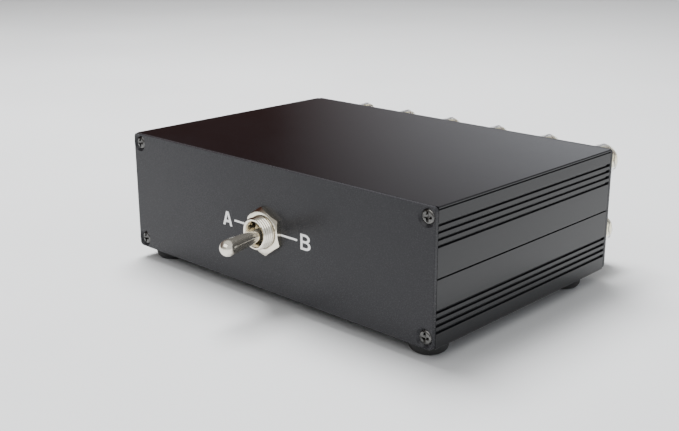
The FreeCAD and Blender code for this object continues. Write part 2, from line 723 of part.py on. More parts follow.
# ------------------------------------------------------------------------- writing it out

def build_enclosure():
    save("upper_shell", upper_shell())
    save("lower_shell", lower_shell())
    save("front_panel", front_panel())
    save("rear_panel", rear_panel())
    save("panel_screws", *panel_screws())
    save("rubber_feet", *rubber_feet())


def build_switch():
    save("switch_bushing", switch_bushing())
    save("lever_pivot_pin", lever_pivot_pin())
    save("mounting_nut", bushing_nut(NUT_AF, (-NUT_T, 0), NUT_TURN))
    save("backing_nut", bushing_nut(BACK_NUT_AF, (PANEL_T, FRAME_Y), BACK_NUT_TURN))
    save("switch_frame", switch_frame())
    a_side = [throw_terminal(1, z) for z in POLE_Z]
    common = [common_terminal(z) for z in POLE_Z]
    b_side = [throw_terminal(-1, z) for z in POLE_Z]
    save("a_side_terminals", *a_side)
    save("common_terminals", *common)
    save("b_side_terminals", *b_side)
    save("switch_case", switch_case(a_side + common + b_side))

    # the lever stands at its B end, towards +X, and the rockers lean the other way
    save("toggle_lever", swing(toggle_lever(), LEVER_TILT, PIVOT))
    save("plunger_yoke", swing(plunger_yoke(), LEVER_TILT, PIVOT))
    save("contact_plungers", *[swing(plunger(z), LEVER_TILT, PIVOT) for z in POLE_Z])
    save("plunger_springs", *[swing(plunger_spring(z), LEVER_TILT, PIVOT) for z in POLE_Z])
    save("contact_rockers", *[swing(contact_rocker(z), -ROCKER_TILT, ROCKER_PIVOT) for z in POLE_Z])


def build_posts():
    save("post_stems", *[post_stem(place) for place in POST_PLACES])
    save("red_post_rings", *[post_ring(place) for place in POSITIVE])
    save("black_post_rings", *[post_ring(place) for place in NEGATIVE])
    save("solder_tags", *[solder_tag(place) for place in POST_PLACES])
    for number, place in enumerate(POST_PLACES, 1):
        save("cap_core_%02d" % number, cap_core(place))
        save("post_cap_%02d" % number, post_cap(place))
    save("red_wires", *[hookup_wire(wire_route(place)) for place in POSITIVE])
    save("black_wires", *[hookup_wire(wire_route(place)) for place in NEGATIVE])


os.makedirs("parts", exist_ok=True)
build_enclosure()
build_switch()
build_posts()
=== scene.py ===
"""Visual model of a two-way speaker selector switch.

A low black anodised box carries a toggle switch on its front panel and twelve binding
posts on its rear panel. Sizes are in millimetres in the row frame: +X to the right seen
from the front, +Y from the front panel to the rear, +Z up. Meshes are written in metres.
"""
import json
import logging
import math
from dataclasses import dataclass, field
from enum import Enum
from typing import Iterable, Sequence

import bmesh
import bpy
import numpy as np
from mathutils import Matrix, Vector
from mathutils.geometry import delaunay_2d_cdt


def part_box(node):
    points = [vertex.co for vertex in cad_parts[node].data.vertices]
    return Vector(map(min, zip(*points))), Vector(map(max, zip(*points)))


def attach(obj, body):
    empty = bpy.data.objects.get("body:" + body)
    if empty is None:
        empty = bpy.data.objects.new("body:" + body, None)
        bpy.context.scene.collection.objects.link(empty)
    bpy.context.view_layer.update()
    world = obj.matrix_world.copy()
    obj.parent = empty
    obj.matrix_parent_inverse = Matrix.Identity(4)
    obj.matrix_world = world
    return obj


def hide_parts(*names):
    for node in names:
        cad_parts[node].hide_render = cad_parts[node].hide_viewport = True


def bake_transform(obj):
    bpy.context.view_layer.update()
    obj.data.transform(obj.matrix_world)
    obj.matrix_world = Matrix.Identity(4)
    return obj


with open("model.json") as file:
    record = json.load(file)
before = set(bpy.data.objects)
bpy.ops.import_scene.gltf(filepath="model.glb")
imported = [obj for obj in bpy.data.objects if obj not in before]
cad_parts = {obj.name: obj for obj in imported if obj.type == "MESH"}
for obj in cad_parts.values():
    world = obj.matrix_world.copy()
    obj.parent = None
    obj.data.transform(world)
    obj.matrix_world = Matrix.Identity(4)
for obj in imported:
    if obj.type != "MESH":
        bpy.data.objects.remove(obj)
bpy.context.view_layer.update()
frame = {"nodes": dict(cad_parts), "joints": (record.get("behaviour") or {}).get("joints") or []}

MM = 0.001
TURN = 2 * math.pi
HEXAGON = 6
POST_COUNT = 12
SMALL_CORNER_STEPS = 2
TRIANGLES = 0  # what the Delaunay net gives back
WELD = 1e-7  # points closer than this are one
ENCLOSURE_BODY = "enclosure"
LEVER_BODY = "lever"
LOG = logging.getLogger("speaker_selector")

Color = tuple[float, float, float]
Loop = np.ndarray
Place = tuple[float, float]
Span = tuple[float, float]
Way = tuple[float, float, float]
Socket = bpy.types.NodeSocket


class Slot(Enum):
    """The names of the record's material slots, one given for each new piece."""

    SHELL = "shell_aluminium"
    PANEL = "panel_aluminium"
    RUBBER = "foot_rubber"
    NICKEL = "nickel"
    STEEL = "steel"
    BRASS = "plated_brass"
    RED = "red_plastic"
    BLACK = "black_plastic"
    CLEAR = "clear_plastic"


class Axis(Enum):
    """The direction that a turned piece stands along."""

    Y = 1
    Z = 2


# --- sizes from the frame

def node_box(node: str) -> np.ndarray:
    """The lowest and highest corner of a CAD node, as a 2 by 3 array in millimetres."""
    return np.array([tuple(corner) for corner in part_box(node)]) / MM


def joint_place(name: str) -> np.ndarray:
    """The x, y and z of a joint of the record, in millimetres."""
    found = next(joint for joint in frame["joints"] if joint["name"] == name)
    return np.array(found["pos_m"]) / MM


FRONT_PANEL = node_box("front_panel")
REAR_PANEL = node_box("rear_panel")
BOX_LOW, BOX_HIGH = FRONT_PANEL[0], REAR_PANEL[1]
BOX_MID = (BOX_LOW + BOX_HIGH) / 2
BOX_SIZE = BOX_HIGH - BOX_LOW


# --- outline tools

def rounded_outline(corners: Sequence[Place], radii: Sequence[float], steps: int = 4) -> Loop:
    """A closed outline whose corners are rounded with tangent arcs.

    At a corner with half angle a, the arc of radius r starts r / tan(a) before the
    corner and ends as far behind it; its centre lies r / sin(a) along the bisector.

    Args:
        corners: the outline's corner points, in order.
        radii: one radius for each corner, 0 for a sharp one.
        steps: the number of chords in each arc.

    Returns:
        The outline's points, as an n by 2 array.
    """
    points = np.asarray(corners, float)
    pieces = []
    for index, radius in enumerate(radii):
        here = points[index]
        if radius <= 0:
            pieces.append(here[None])
            continue
        back = points[index - 1] - here
        ahead = points[(index + 1) % len(points)] - here
        back, ahead = back / np.linalg.norm(back), ahead / np.linalg.norm(ahead)
        half = math.acos(np.clip(back @ ahead, -1, 1)) / 2
        bisector = (back + ahead) / np.linalg.norm(back + ahead)
        centre = here + bisector * radius / math.sin(half)
        start = here + back * radius / math.tan(half) - centre
        sign = math.copysign(1.0, back[0] * ahead[1] - back[1] * ahead[0])
        angle = -sign * (math.pi - 2 * half) * np.linspace(0, 1, steps + 1)
        cos, sin = np.cos(angle), np.sin(angle)
        pieces.append(centre + np.stack([start[0] * cos - start[1] * sin,
                                         start[0] * sin + start[1] * cos], -1))
    return np.concatenate(pieces)


def rounded_rectangle(centre: Sequence[float], size: Sequence[float], radius: float,
                      steps: int = 5) -> Loop:
    """A rectangle with four equal rounded corners.

    Args:
        centre: the middle of the rectangle.
        size: its width and height.
        radius: the corner radius.
        steps: the number of chords in each corner.

    Returns:
        The outline's points, as an n by 2 array.
    """
    signs = np.array([(-1, -1), (1, -1), (1, 1), (-1, 1)])
    corners = np.asarray(centre) + signs * np.asarray(size, float) / 2
    return rounded_outline(corners, [radius] * 4, steps)


def ring_angles(count: int) -> np.ndarray:
    """The angles of a ring's points."""
    return np.arange(count) * TURN / count


def circle(centre: Sequence[float], radius: float, count: int) -> Loop:
    """A circle of evenly spaced points."""
    angle = ring_angles(count)
    return np.asarray(centre) + radius * np.stack([np.cos(angle), np.sin(angle)], -1)


def held(loop: Loop, margin: float) -> Loop:
    """Put a point near both ends of every long side, so that the flats are shaded flat.

    The new points lie on the side, at the margin from its ends.

    Args:
        loop: the outline, n by 2.
        margin: the distance from the ends.

    Returns:
        The outline with the points added.
    """
    after = np.roll(loop, -1, axis=0)
    length = np.linalg.norm(after - loop, axis=1, keepdims=True)
    step = (after - loop) / length * margin
    long = length[:, 0] > 4 * margin
    keep = np.stack([np.ones_like(long), long, long], axis=1)
    return np.stack([loop, loop + step, after - step], axis=1)[keep]


def inside(outline: Loop, points: np.ndarray) -> np.ndarray:
    """Which points lie inside an outline, by counting the edges to their right.

    Args:
        outline: a closed outline, n by 2.
        points: the points to test, m by 2.

    Returns:
        m truth values.
    """
    start, end = outline, np.roll(outline, -1, axis=0)
    x, y = points[:, 0:1], points[:, 1:2]
    crosses = (start[:, 1] > y) != (end[:, 1] > y)
    rise = np.where(crosses, end[:, 1] - start[:, 1], 1.0)
    at_x = start[:, 0] + (y - start[:, 1]) / rise * (end[:, 0] - start[:, 0])
    return (crosses & (x < at_x)).sum(axis=1) % 2 == 1


def flats_radius(angle: np.ndarray, sides: int, across: float, trim: float) -> np.ndarray:
    """The radius of a regular polygon, with a corner at a quarter turn.

    Between two corners the radius is half the width across flats, divided by the cosine
    of the angle from the middle of the flat.

    Args:
        angle: the angles to work it out at.
        sides: the number of flats.
        across: the width across flats.
        trim: how much the corners are turned down.

    Returns:
        One radius for each angle.
    """
    step = TURN / sides
    off = np.mod(angle - math.pi / 2, step) - step / 2
    corner = across / 2 / math.cos(step / 2)
    return np.minimum(across / 2 / np.cos(off), corner - trim)


# --- mesh tools

class Surface:
    """Collects patches in millimetres and makes one finished piece of them."""

    def __init__(self) -> None:
        """Start with no patches."""
        self.points: list[np.ndarray] = []
        self.faces: list[list[int]] = []
        self.count = 0

    def patch(self, points: np.ndarray, faces: Iterable[Sequence[int]]) -> None:
        """Add points and the faces between them.

        Args:
            points: the points, in rows of any shape that end in x, y and z.
            faces: the numbers of each face's points, in the order that points has them.
        """
        base = self.count
        self.points.append(points.reshape(-1, 3))
        self.count += len(self.points[-1])
        self.faces.extend([[base + int(i) for i in face] for face in faces])

    def grid(self, points: np.ndarray, wrap: bool = True) -> None:
        """Add a grid of quads.

        Args:
            points: rows by columns by 3.
            wrap: whether the last column joins the first.
        """
        rows, cols = points.shape[:2]
        i, j = np.meshgrid(np.arange(rows - 1), np.arange(cols if wrap else cols - 1),
                           indexing="ij")
        k = (j + 1) % cols
        quads = np.stack([i * cols + j, i * cols + k, (i + 1) * cols + k, (i + 1) * cols + j], -1)
        self.patch(points, quads.reshape(-1, 4))

    def cap(self, loop: np.ndarray) -> None:
        """Close a loop of points with one flat face."""
        self.patch(loop, [list(range(len(loop)))])

    def closed(self, rows: np.ndarray) -> None:
        """Add a grid that wraps round, and close both of its ends.

        Args:
            rows: rows by columns by 3.
        """
        self.grid(rows)
        self.cap(rows[0])
        self.cap(rows[-1])

    def flat(self, outline: Loop, holes: Sequence[Loop], y: float) -> None:
        """Fill a flat region that has holes, in the plane at y.

        The triangles are those of a Delaunay net over all the outlines whose middles lie
        inside the outer outline and outside every hole.

        Args:
            outline: the outer (x, z) outline.
            holes: the outlines of the holes.
            y: the plane's place.
        """
        loops = [outline, *holes]
        starts = np.cumsum([0] + [len(loop) for loop in loops])
        edges = [(int(a + i), int(a + (i + 1) % (b - a))) for a, b in zip(starts, starts[1:])
                 for i in range(b - a)]
        corners = [Vector(point) for loop in loops for point in loop.tolist()]
        found, _, triangles, *_ = delaunay_2d_cdt(corners, edges, [], TRIANGLES, WELD)
        found = np.array([tuple(point) for point in found])
        triangles = np.array([list(face) for face in triangles])
        middles = found[triangles].mean(axis=1)
        keep = inside(outline, middles)
        for hole in holes:
            keep &= ~inside(hole, middles)
        self.patch(np.insert(found, 1, y, axis=1), triangles[keep])

    def build(self, name: str, finish: "Finish", body: str | None, slot: Slot,
              replaces: Sequence[str] = (), sharp: float = 32.0) -> bpy.types.Object:
        """Make the piece, dress it and put it on its body.

        Args:
            name: the piece's name.
            finish: its finish.
            body: the name of the body that it rides on, or None for a piece on no body.
            slot: the record's slot that goes with it; not used.
            replaces: the CAD nodes that it stands for.
            sharp: the angle in degrees past which an edge is sharp.

        Returns:
            The piece.
        """
        mesh = bpy.data.meshes.new(name)
        mesh.from_pydata((np.concatenate(self.points) * MM).tolist(), [], self.faces)
        welded = bmesh.new()
        welded.from_mesh(mesh)
        bmesh.ops.remove_doubles(welded, verts=welded.verts, dist=WELD)
        bmesh.ops.recalc_face_normals(welded, faces=welded.faces)
        welded.to_mesh(mesh)
        welded.free()
        mesh.shade_smooth()
        mesh.set_sharp_from_angle(angle=math.radians(sharp))
        piece = bpy.data.objects.new(name, mesh)
        bpy.context.scene.collection.objects.link(piece)
        mesh.materials.append(finish.material())
        if body:
            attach(piece, body)
        if replaces:
            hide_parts(*replaces)
        LOG.info("%s: %d faces on %s", name, len(mesh.polygons), body or "two bodies")
        return piece


def turned(rows: Sequence[tuple], centre: Sequence[float], count: int,
           axis: Axis = Axis.Y) -> np.ndarray:
    """A turned surface: each row is a ring around the axis.

    A point at angle t on a ring of radius r lies r cos t and r sin t from the axis, at
    the ring's place along it.

    Args:
        rows: each ring's radius and place along the axis, both either one number or an
            array with one number for each of the ring's points.
        centre: the axis' place: x and z for a Y axis, x and y for a Z axis.
        count: the number of points in a ring.
        axis: the direction of the axis.

    Returns:
        A rows by points by 3 array.
    """
    radius, along = (np.stack([np.broadcast_to(value, count) for value in column])
                     for column in zip(*rows))
    angle = ring_angles(count)
    first, second = centre[0] + radius * np.cos(angle), centre[1] + radius * np.sin(angle)
    order = (first, along, second) if axis is Axis.Y else (first, second, along)
    return np.stack(order, -1)


def layered(levels: Iterable[tuple[Loop, float]]) -> np.ndarray:
    """Put (x, z) outlines at their places along Y, as rows of a grid."""
    return np.stack([np.insert(loop, 1, y, axis=1) for loop, y in levels])


def extruded(loop: Loop, places: Sequence[float]) -> np.ndarray:
    """Copies of an (x, z) outline at several places along Y, as rows of a grid."""
    return layered((loop, y) for y in places)


def swung(points: np.ndarray, pivot: np.ndarray, degrees: float) -> np.ndarray:
    """Turn points about the vertical line through the pivot.

    Args:
        points: an array of points in any arrangement that ends in x, y and z.
        pivot: a point of the line.
        degrees: the angle, anticlockwise from above.

    Returns:
        The turned points.
    """
    cos, sin = math.cos(math.radians(degrees)), math.sin(math.radians(degrees))
    x, y = points[..., 0] - pivot[0], points[..., 1] - pivot[1]
    return np.stack([pivot[0] + x * cos - y * sin, pivot[1] + x * sin + y * cos,
                     points[..., 2]], -1)


@dataclass(frozen=True)
class Thread:
    """A screw thread.

    rows is the number of rings in a pitch. The groove is a triangle wave, which root
    lifts, so that its floor is flat, and slope steepens. sharp is the angle in degrees
    past which an edge of the threaded piece is sharp.
    """

    rows: int
    root: float
    pitch: float = 1.0
    depth: float = 0.42
    slope: float = 2.6
    sharp: float = 50.0

    def rings(self, crest: float, start: float, stop: float,
              count: int) -> list[tuple[np.ndarray, float]]:
        """The rings of a threaded length.

        With p the fraction of place / pitch - angle / turn, the radius is the crest less
        depth times root - slope |p - 1/2|, cut off at 0 and 1.

        Args:
            crest: the radius over the thread's crest.
            start: where the length starts.
            stop: where it stops.
            count: the number of points in a ring.

        Returns:
            Each ring's radii and place.
        """
        y = np.linspace(start, stop, int((stop - start) / self.pitch * self.rows))
        phase = np.mod(y[:, None] / self.pitch - ring_angles(count) / TURN, 1.0)
        groove = np.clip(self.root - np.abs(phase - 0.5) * self.slope, 0, 1)
        return list(zip(crest - self.depth * groove, y))


# --- shader nodes

class NodeTools:
    """Short ways to add and join shader nodes in one tree."""

    def __init__(self, tree: bpy.types.NodeTree) -> None:
        """Work in the given tree."""
        self.tree = tree

    def add(self, kind: str, **settings: object) -> bpy.types.Node:
        """Add a node.

        Args:
            kind: the node's type name.
            settings: its properties.

        Returns:
            The new node.
        """
        node = self.tree.nodes.new(kind)
        for key, value in settings.items():
            setattr(node, key, value)
        return node

    def join(self, source: object, target: Socket) -> None:
        """Link a socket to the target, or set the target itself.

        Args:
            source: a socket, a number or a colour.
            target: the input that takes it.
        """
        if isinstance(source, Socket):
            self.tree.links.new(source, target)
        elif isinstance(source, tuple):
            target.default_value = (*source, 1.0)
        else:
            target.default_value = source

    def math(self, operation: str, first: object, second: object) -> Socket:
        """Add a Math node on two sockets or numbers.

        Args:
            operation: the node's operation.
            first: a socket or a number.
            second: a socket or a number.

        Returns:
            The node's output.
        """
        node = self.add("ShaderNodeMath", operation=operation)
        self.join(first, node.inputs[0])
        self.join(second, node.inputs[1])
        return node.outputs[0]

    def mapped(self, value: Socket, low: object, high: object,
               source: Span = (0.3, 0.7)) -> Socket:
        """Map a value, such as a noise in its usual range, to low and high.

        Args:
            value: the socket to map.
            low: a socket or a number for the low end.
            high: a socket or a number for the high end.
            source: the range that is mapped.

        Returns:
            The mapped output.
        """
        node = self.add("ShaderNodeMapRange", clamp=True)
        for name, end in (("Value", value), ("From Min", source[0]), ("From Max", source[1]),
                          ("To Min", low), ("To Max", high)):
            self.join(end, node.inputs[name])
        return node.outputs["Result"]

    def blended(self, share: Socket, first: object, second: object) -> Socket:
        """Mix two colours, each a socket or a plain colour.

        Args:
            share: how much of the second one shows.
            first: the first colour.
            second: the second colour.

        Returns:
            The mixed colour.
        """
        node = self.add("ShaderNodeMix", data_type="RGBA")
        for name, value in (("Factor", share), ("A", first), ("B", second)):
            self.join(value, node.inputs[name])
        return node.outputs["Result"]

    def noise(self, scale: Socket, detail: float) -> Socket:
        """Add noise on Object coordinates.

        Args:
            scale: the socket that sets the noise's scale, per metre.
            detail: the noise's octaves.

        Returns:
            The noise factor.
        """
        noise = self.add("ShaderNodeTexNoise")
        noise.inputs["Detail"].default_value = detail
        self.join(self.add("ShaderNodeTexCoord").outputs["Object"], noise.inputs["Vector"])
        self.join(scale, noise.inputs["Scale"])
        return noise.outputs["Fac"]


def grain_group() -> bpy.types.NodeTree:
    """Fine even grain, as on an anodised or moulded surface, with slow handling marks.

    Value is fine noise plus a share of slow, cloudy noise; Height is the fine noise.

    Returns:
        The group, which the first call makes.
    """
    name = "Fine grain"
    if name in bpy.data.node_groups:
        return bpy.data.node_groups[name]
    tree = bpy.data.node_groups.new(name, "ShaderNodeTree")
    for label, value in (("Scale", 6000.0), ("Cloud scale", 35.0), ("Cloud", 0.5)):
        socket = tree.interface.new_socket(label, in_out="INPUT", socket_type="NodeSocketFloat")
        socket.default_value = value
    for label in ("Value", "Height"):
        tree.interface.new_socket(label, in_out="OUTPUT", socket_type="NodeSocketFloat")
    tools = NodeTools(tree)
    given, out = tools.add("NodeGroupInput").outputs, tools.add("NodeGroupOutput").inputs
    fine = tools.noise(given["Scale"], detail=2.0)
    slow = tools.noise(given["Cloud scale"], detail=4.0)
    cloud = tools.math("MULTIPLY", tools.math("SUBTRACT", slow, 0.5), given["Cloud"])
    tools.join(tools.math("ADD", fine, cloud), out["Value"])
    tools.join(fine, out["Height"])
    return tree


# --- finishes

@dataclass(frozen=True)
class Finish:
    """A finish with grain in its colour, roughness and relief.

    color_low and color_high are the ends of the grain's colour, rough_low and rough_high
    of its roughness; relief is the depth of the bump in metres.
    """

    name: str
    color_low: Color
    color_high: Color
    rough_low: float
    rough_high: float
    metallic: float = 0.0
    grain: float = 6000.0
    cloud_scale: float = 35.0
    cloud: float = 0.5
    relief: float = 2e-6
    clear: float = 0.0
    ior: float = 1.5

    def material(self) -> bpy.types.Material:
        """Make the material once and hand it out after that.

        Returns:
            The material.
        """
        if self.name in bpy.data.materials:
            return bpy.data.materials[self.name]
        material = bpy.data.materials.new(self.name)
        material.use_nodes = True
        material.diffuse_color = (*self.color_high, 1.0)
        tools = NodeTools(material.node_tree)
        shader = material.node_tree.nodes["Principled BSDF"]
        for label, value in (("Metallic", self.metallic), ("IOR", self.ior),
                             ("Transmission Weight", self.clear)):
            shader.inputs[label].default_value = value
        grain = tools.add("ShaderNodeGroup", node_tree=grain_group())
        for label, value in (("Scale", self.grain), ("Cloud scale", self.cloud_scale),
                             ("Cloud", self.cloud)):
            grain.inputs[label].default_value = value
        value = grain.outputs["Value"]
        color = tools.blended(tools.mapped(value, 0.0, 1.0), self.color_low, self.color_high)
        tools.join(color, shader.inputs["Base Color"])
        tools.join(tools.mapped(value, self.rough_low, self.rough_high), shader.inputs["Roughness"])
        bump = tools.add("ShaderNodeBump")
        bump.inputs["Strength"].default_value = 1.0
        bump.inputs["Distance"].default_value = self.relief
        tools.join(grain.outputs["Height"], bump.inputs["Height"])
        tools.join(bump.outputs["Normal"], shader.inputs["Normal"])
        return material


SHELL_BLACK = Finish("Black anodised extrusion", (0.0027, 0.0027, 0.0034),
                     (0.0062, 0.0062, 0.0076), 0.13, 0.21, grain=2600.0, cloud=0.3, ior=1.39)
PANEL_BLACK = Finish("Black anodised panel", (0.0218, 0.0218, 0.0242), (0.0275, 0.0275, 0.0308),
                     0.23, 0.29, grain=2600.0, cloud=0.3, relief=1.0e-6, ior=1.28)
MARK_WHITE = Finish("White screen ink", (0.88, 0.88, 0.88), (0.93, 0.93, 0.93), 0.45, 0.6)
SCREW_STEEL = Finish("Plated screw", (0.08, 0.08, 0.08), (0.15, 0.147, 0.14),
                     0.18, 0.30, metallic=1.0, grain=3000.0)
RUBBER_BLACK = Finish("Matt black rubber", (0.010, 0.010, 0.010), (0.020, 0.020, 0.020),
                      0.62, 0.80, grain=4000.0, relief=6e-6)
NICKEL = Finish("Bright nickel plating", (0.76, 0.71, 0.60), (0.86, 0.82, 0.72),
                0.10, 0.18, metallic=1.0, grain=2500.0, cloud_scale=160.0, relief=0.8e-6)
LEVER_NICKEL = Finish("Worn nickel plating", (0.76, 0.71, 0.60), (0.86, 0.82, 0.72),
                      0.10, 0.18, metallic=0.93, grain=2500.0, cloud_scale=160.0, relief=0.8e-6)
STEEL = Finish("Zinc plated steel", (0.48, 0.49, 0.50), (0.62, 0.63, 0.64), 0.28, 0.42,
               metallic=1.0, cloud_scale=200.0)
CASE_RESIN = Finish("Brown phenolic moulding", (0.060, 0.022, 0.012), (0.105, 0.042, 0.024),
                    0.34, 0.5, cloud_scale=300.0)
YOKE_RESIN = Finish("Natural nylon", (0.62, 0.60, 0.54), (0.74, 0.72, 0.66), 0.4, 0.55)
CONTACT_SILVER = Finish("Silver plated contact", (0.72, 0.70, 0.66), (0.86, 0.85, 0.82),
                        0.18, 0.34, metallic=1.0, cloud_scale=220.0)
POST_BRASS = Finish("Plated brass", (0.84, 0.77, 0.50), (0.94, 0.89, 0.66), 0.12, 0.22,
                    metallic=1.0, grain=2500.0, cloud_scale=200.0)
RED_PLASTIC = Finish("Red insulator", (0.42, 0.008, 0.008), (0.55, 0.015, 0.012), 0.22, 0.34,
                     cloud_scale=150.0)
BLACK_PLASTIC = Finish("Black insulator", (0.010, 0.010, 0.011), (0.018, 0.018, 0.019),
                       0.22, 0.36, cloud_scale=150.0)
CLEAR_PLASTIC = Finish("Clear acrylic", (0.94, 0.95, 0.95), (0.98, 0.98, 0.98), 0.03, 0.09,
                       cloud_scale=120.0, clear=1.0, ior=1.49, relief=0.5e-6)
RED_SLEEVE = Finish("Red wire insulation", (0.40, 0.012, 0.010), (0.52, 0.022, 0.018), 0.4, 0.52)
BLACK_SLEEVE = Finish("Black wire insulation", (0.012, 0.012, 0.012), (0.022, 0.022, 0.022),
                      0.4, 0.52)
TABLE_WHITE = Finish("Pale table", (0.66, 0.67, 0.68), (0.70, 0.71, 0.72), 0.45, 0.6,
                     cloud_scale=6.0)


def dress_nodes(finish: Finish, *nodes: str) -> None:
    """Give CAD nodes that stay in view their finish.

    Args:
        finish: the finish.
        nodes: the nodes' names.
    """
    for node in nodes:
        mesh = frame["nodes"][node].data
        mesh.materials.clear()
        mesh.materials.append(finish.material())


# --- enclosure

@dataclass
class Enclosure:
    """The two extruded half shells, the end panels, their screws and the feet."""

    side_wall: float = 3.0
    flat_wall: float = 2.2
    edge_radius: float = 0.4
    edge_hold: float = 0.06
    edge_line_at: float = 0.95
    edge_line_width: float = 0.55
    edge_line_depth: float = 0.6
    panel_corner: float = 1.6
    panel_chamfer: float = 0.18
    panel_sharp: float = 20.0
    seam_gap: float = 0.42
    tongue_width: float = 1.35
    tongue_height: float = 2.0
    tongue_clearance: float = 0.1
    groove_count: int = 4
    groove_first: float = 5.8
    groove_pitch: float = 2.33
    groove_width: float = 1.1
    groove_floor: float = 0.6
    groove_depth: float = 0.85
    groove_round: float = 0.12
    boss_width: float = 7.4
    boss_height: float = 7.2
    slot_width: float = 2.5
    screw_from_side: float = 3.5
    screw_from_flat: float = 3.65
    guide_low: float = 14.6
    guide_gap: float = 2.0
    guide_thick: float = 1.2
    guide_reach: float = 2.2
    sink_radius: float = 3.35
    sink_floor: float = 1.75
    sink_edge: float = 0.1
    sink_points: int = 64
    bushing_gap: float = 0.1
    bushing_hole_points: int = 96
    key_hole: float = 8.0
    key_hole_round: float = 0.3
    foot_radius: float = 7.2
    foot_rim: float = 0.2
    foot_sole: float = 6.75
    foot_edge: float = 2.3
    foot_edge_rings: int = 9
    foot_points: int = 64

    def build(self) -> None:
        """Make every piece of the enclosure."""
        self._shell("upper_shell_skin", "upper_shell", upper=True)
        self._shell("lower_shell_skin", "lower_shell", upper=False)
        self._front_panel()
        self._rear_panel()
        self._feet()
        PanelScrews(self.screw_places()).build()

    def screw_places(self) -> list[Place]:
        """The axes of the panel screws.

        Returns:
            The x and z of each.
        """
        side, flat = self.screw_from_side, self.screw_from_flat
        return [(x, z) for x in (BOX_LOW[0] + side, BOX_HIGH[0] - side)
                for z in (BOX_LOW[2] + flat, BOX_HIGH[2] - flat)]

    def _wall_outline(self, upper: bool) -> tuple[list[Place], list[float]]:
        """Half of a shell's section, from the middle of its flat face to its inside.

        Points are (distance from the middle, height over the flat face).

        Args:
            upper: whether it is the roof half, which has the skirt.

        Returns:
            The corner points and their radii.
        """
        side = BOX_SIZE[0] / 2
        inner = side - self.side_wall
        middle = BOX_SIZE[2] / 2
        seam = middle - self.seam_gap / 2
        points, radii = [(side, 0.0)], [self.edge_radius]
        if upper:
            near, far = (self.edge_line_at + sign * self.edge_line_width / 2 for sign in (-1, 1))
            deep = side - self.edge_line_depth
            points += [(side, near), (deep, near), (deep, far), (side, far)]
            radii += [0.0] * 4
        wide, narrow = self.groove_width / 2, self.groove_floor / 2
        deep = side - self.groove_depth
        for index in range(self.groove_count):
            at = self.groove_first + self.groove_pitch * index
            points += [(side, at - wide), (deep, at - narrow), (deep, at + narrow),
                       (side, at + wide)]
            radii += [self.groove_round] * 4
        points.append((side, seam))
        radii.append(self.groove_round)
        step = inner + self.tongue_width + (self.tongue_clearance if upper else 0.0)
        reach = middle + self.tongue_height * (-1 if upper else 1)
        points += [(step, seam), (step, reach), (inner, reach)]
        rib = inner - self.guide_reach
        for low in (self.guide_low + self.guide_gap + self.guide_thick, self.guide_low):
            high = low + self.guide_thick
            points += [(inner, high), (rib, high), (rib, low), (inner, low)]
        boss = side - self.boss_width
        slot = side - self.screw_from_side + self.slot_width / 2
        low, high = (self.screw_from_flat + sign * self.slot_width / 2 for sign in (-1, 1))
        points += [(inner, self.boss_height), (boss, self.boss_height), (boss, high),
                   (slot, high), (slot, low), (boss, low), (boss, self.flat_wall)]
        radii += [0.0] * (len(points) - len(radii))
        return points, radii

    def _shell(self, name: str, node: str, upper: bool) -> None:
        """Extrude one half shell along Y between the panels.

        Args:
            name: the piece's name.
            node: the CAD node that it stands for.
            upper: whether it is the roof half.
        """
        points, radii = self._wall_outline(upper)
        corners = points + [(-x, z) for x, z in reversed(points)]
        outline = held(rounded_outline(corners, radii + radii[::-1]), self.edge_hold)
        z = BOX_HIGH[2] - outline[:, 1] if upper else BOX_LOW[2] + outline[:, 1]
        section = np.stack([BOX_MID[0] + outline[:, 0], z], -1)
        surface = Surface()
        surface.closed(extruded(section, (FRONT_PANEL[1, 1], REAR_PANEL[0, 1])))
        surface.build(name, SHELL_BLACK, ENCLOSURE_BODY, Slot.SHELL, [node])

    def _plate(self, name: str, node: str, ends: tuple[float, float],
               holes: list[Loop]) -> None:
        """An end plate with chamfered edges, countersunk screw holes and other holes.

        Args:
            name: the piece's name.
            node: the CAD node that it stands for.
            ends: the places of its outer and its inner face along Y.
            holes: the outlines of the other holes.
        """
        face, back = ends
        inwards = math.copysign(1.0, back - face)
        centre, size = BOX_MID[[0, 2]], BOX_SIZE[[0, 2]]
        trim = self.panel_chamfer
        full = rounded_rectangle(centre, size, self.panel_corner)
        inset = rounded_rectangle(centre, size - 2 * trim, self.panel_corner - trim)
        surface = Surface()
        surface.grid(layered([(inset, face), (full, face + inwards * trim),
                              (full, back - inwards * trim), (inset, back)]))
        mouths, floors = [], []
        for place in self.screw_places():
            mouth, wall, floor = (circle(place, radius, self.sink_points) for radius in
                                  (self.sink_radius + self.sink_edge, self.sink_radius,
                                   self.sink_floor))
            surface.grid(layered([(mouth, face), (wall, face + inwards * self.sink_edge / 2),
                                  (floor, back)]))
            mouths.append(mouth)
            floors.append(floor)
        for loop in holes:
            surface.grid(extruded(loop, ends))
        surface.flat(inset, mouths + holes, face)
        surface.flat(inset, floors + holes, back)
        surface.build(name, PANEL_BLACK, ENCLOSURE_BODY, Slot.PANEL, [node],
                      sharp=self.panel_sharp)

    def _front_panel(self) -> None:
        """The front plate, with the hole for the switch."""
        low, high = node_box("switch_bushing")[:, [0, 2]]
        hole = circle((low + high) / 2, (high[0] - low[0]) / 2 + self.bushing_gap,
                      self.bushing_hole_points)
        self._plate("front_plate", "front_panel", (FRONT_PANEL[0, 1], FRONT_PANEL[1, 1]), [hole])

    def _rear_panel(self) -> None:
        """The rear plate, with a keyed hole for each post."""
        size = (self.key_hole, self.key_hole)
        holes = [rounded_rectangle(place, size, self.key_hole_round, SMALL_CORNER_STEPS)
                 for place in BindingPosts.places()]
        self._plate("rear_plate", "rear_panel", (REAR_PANEL[1, 1], REAR_PANEL[0, 1]), holes)

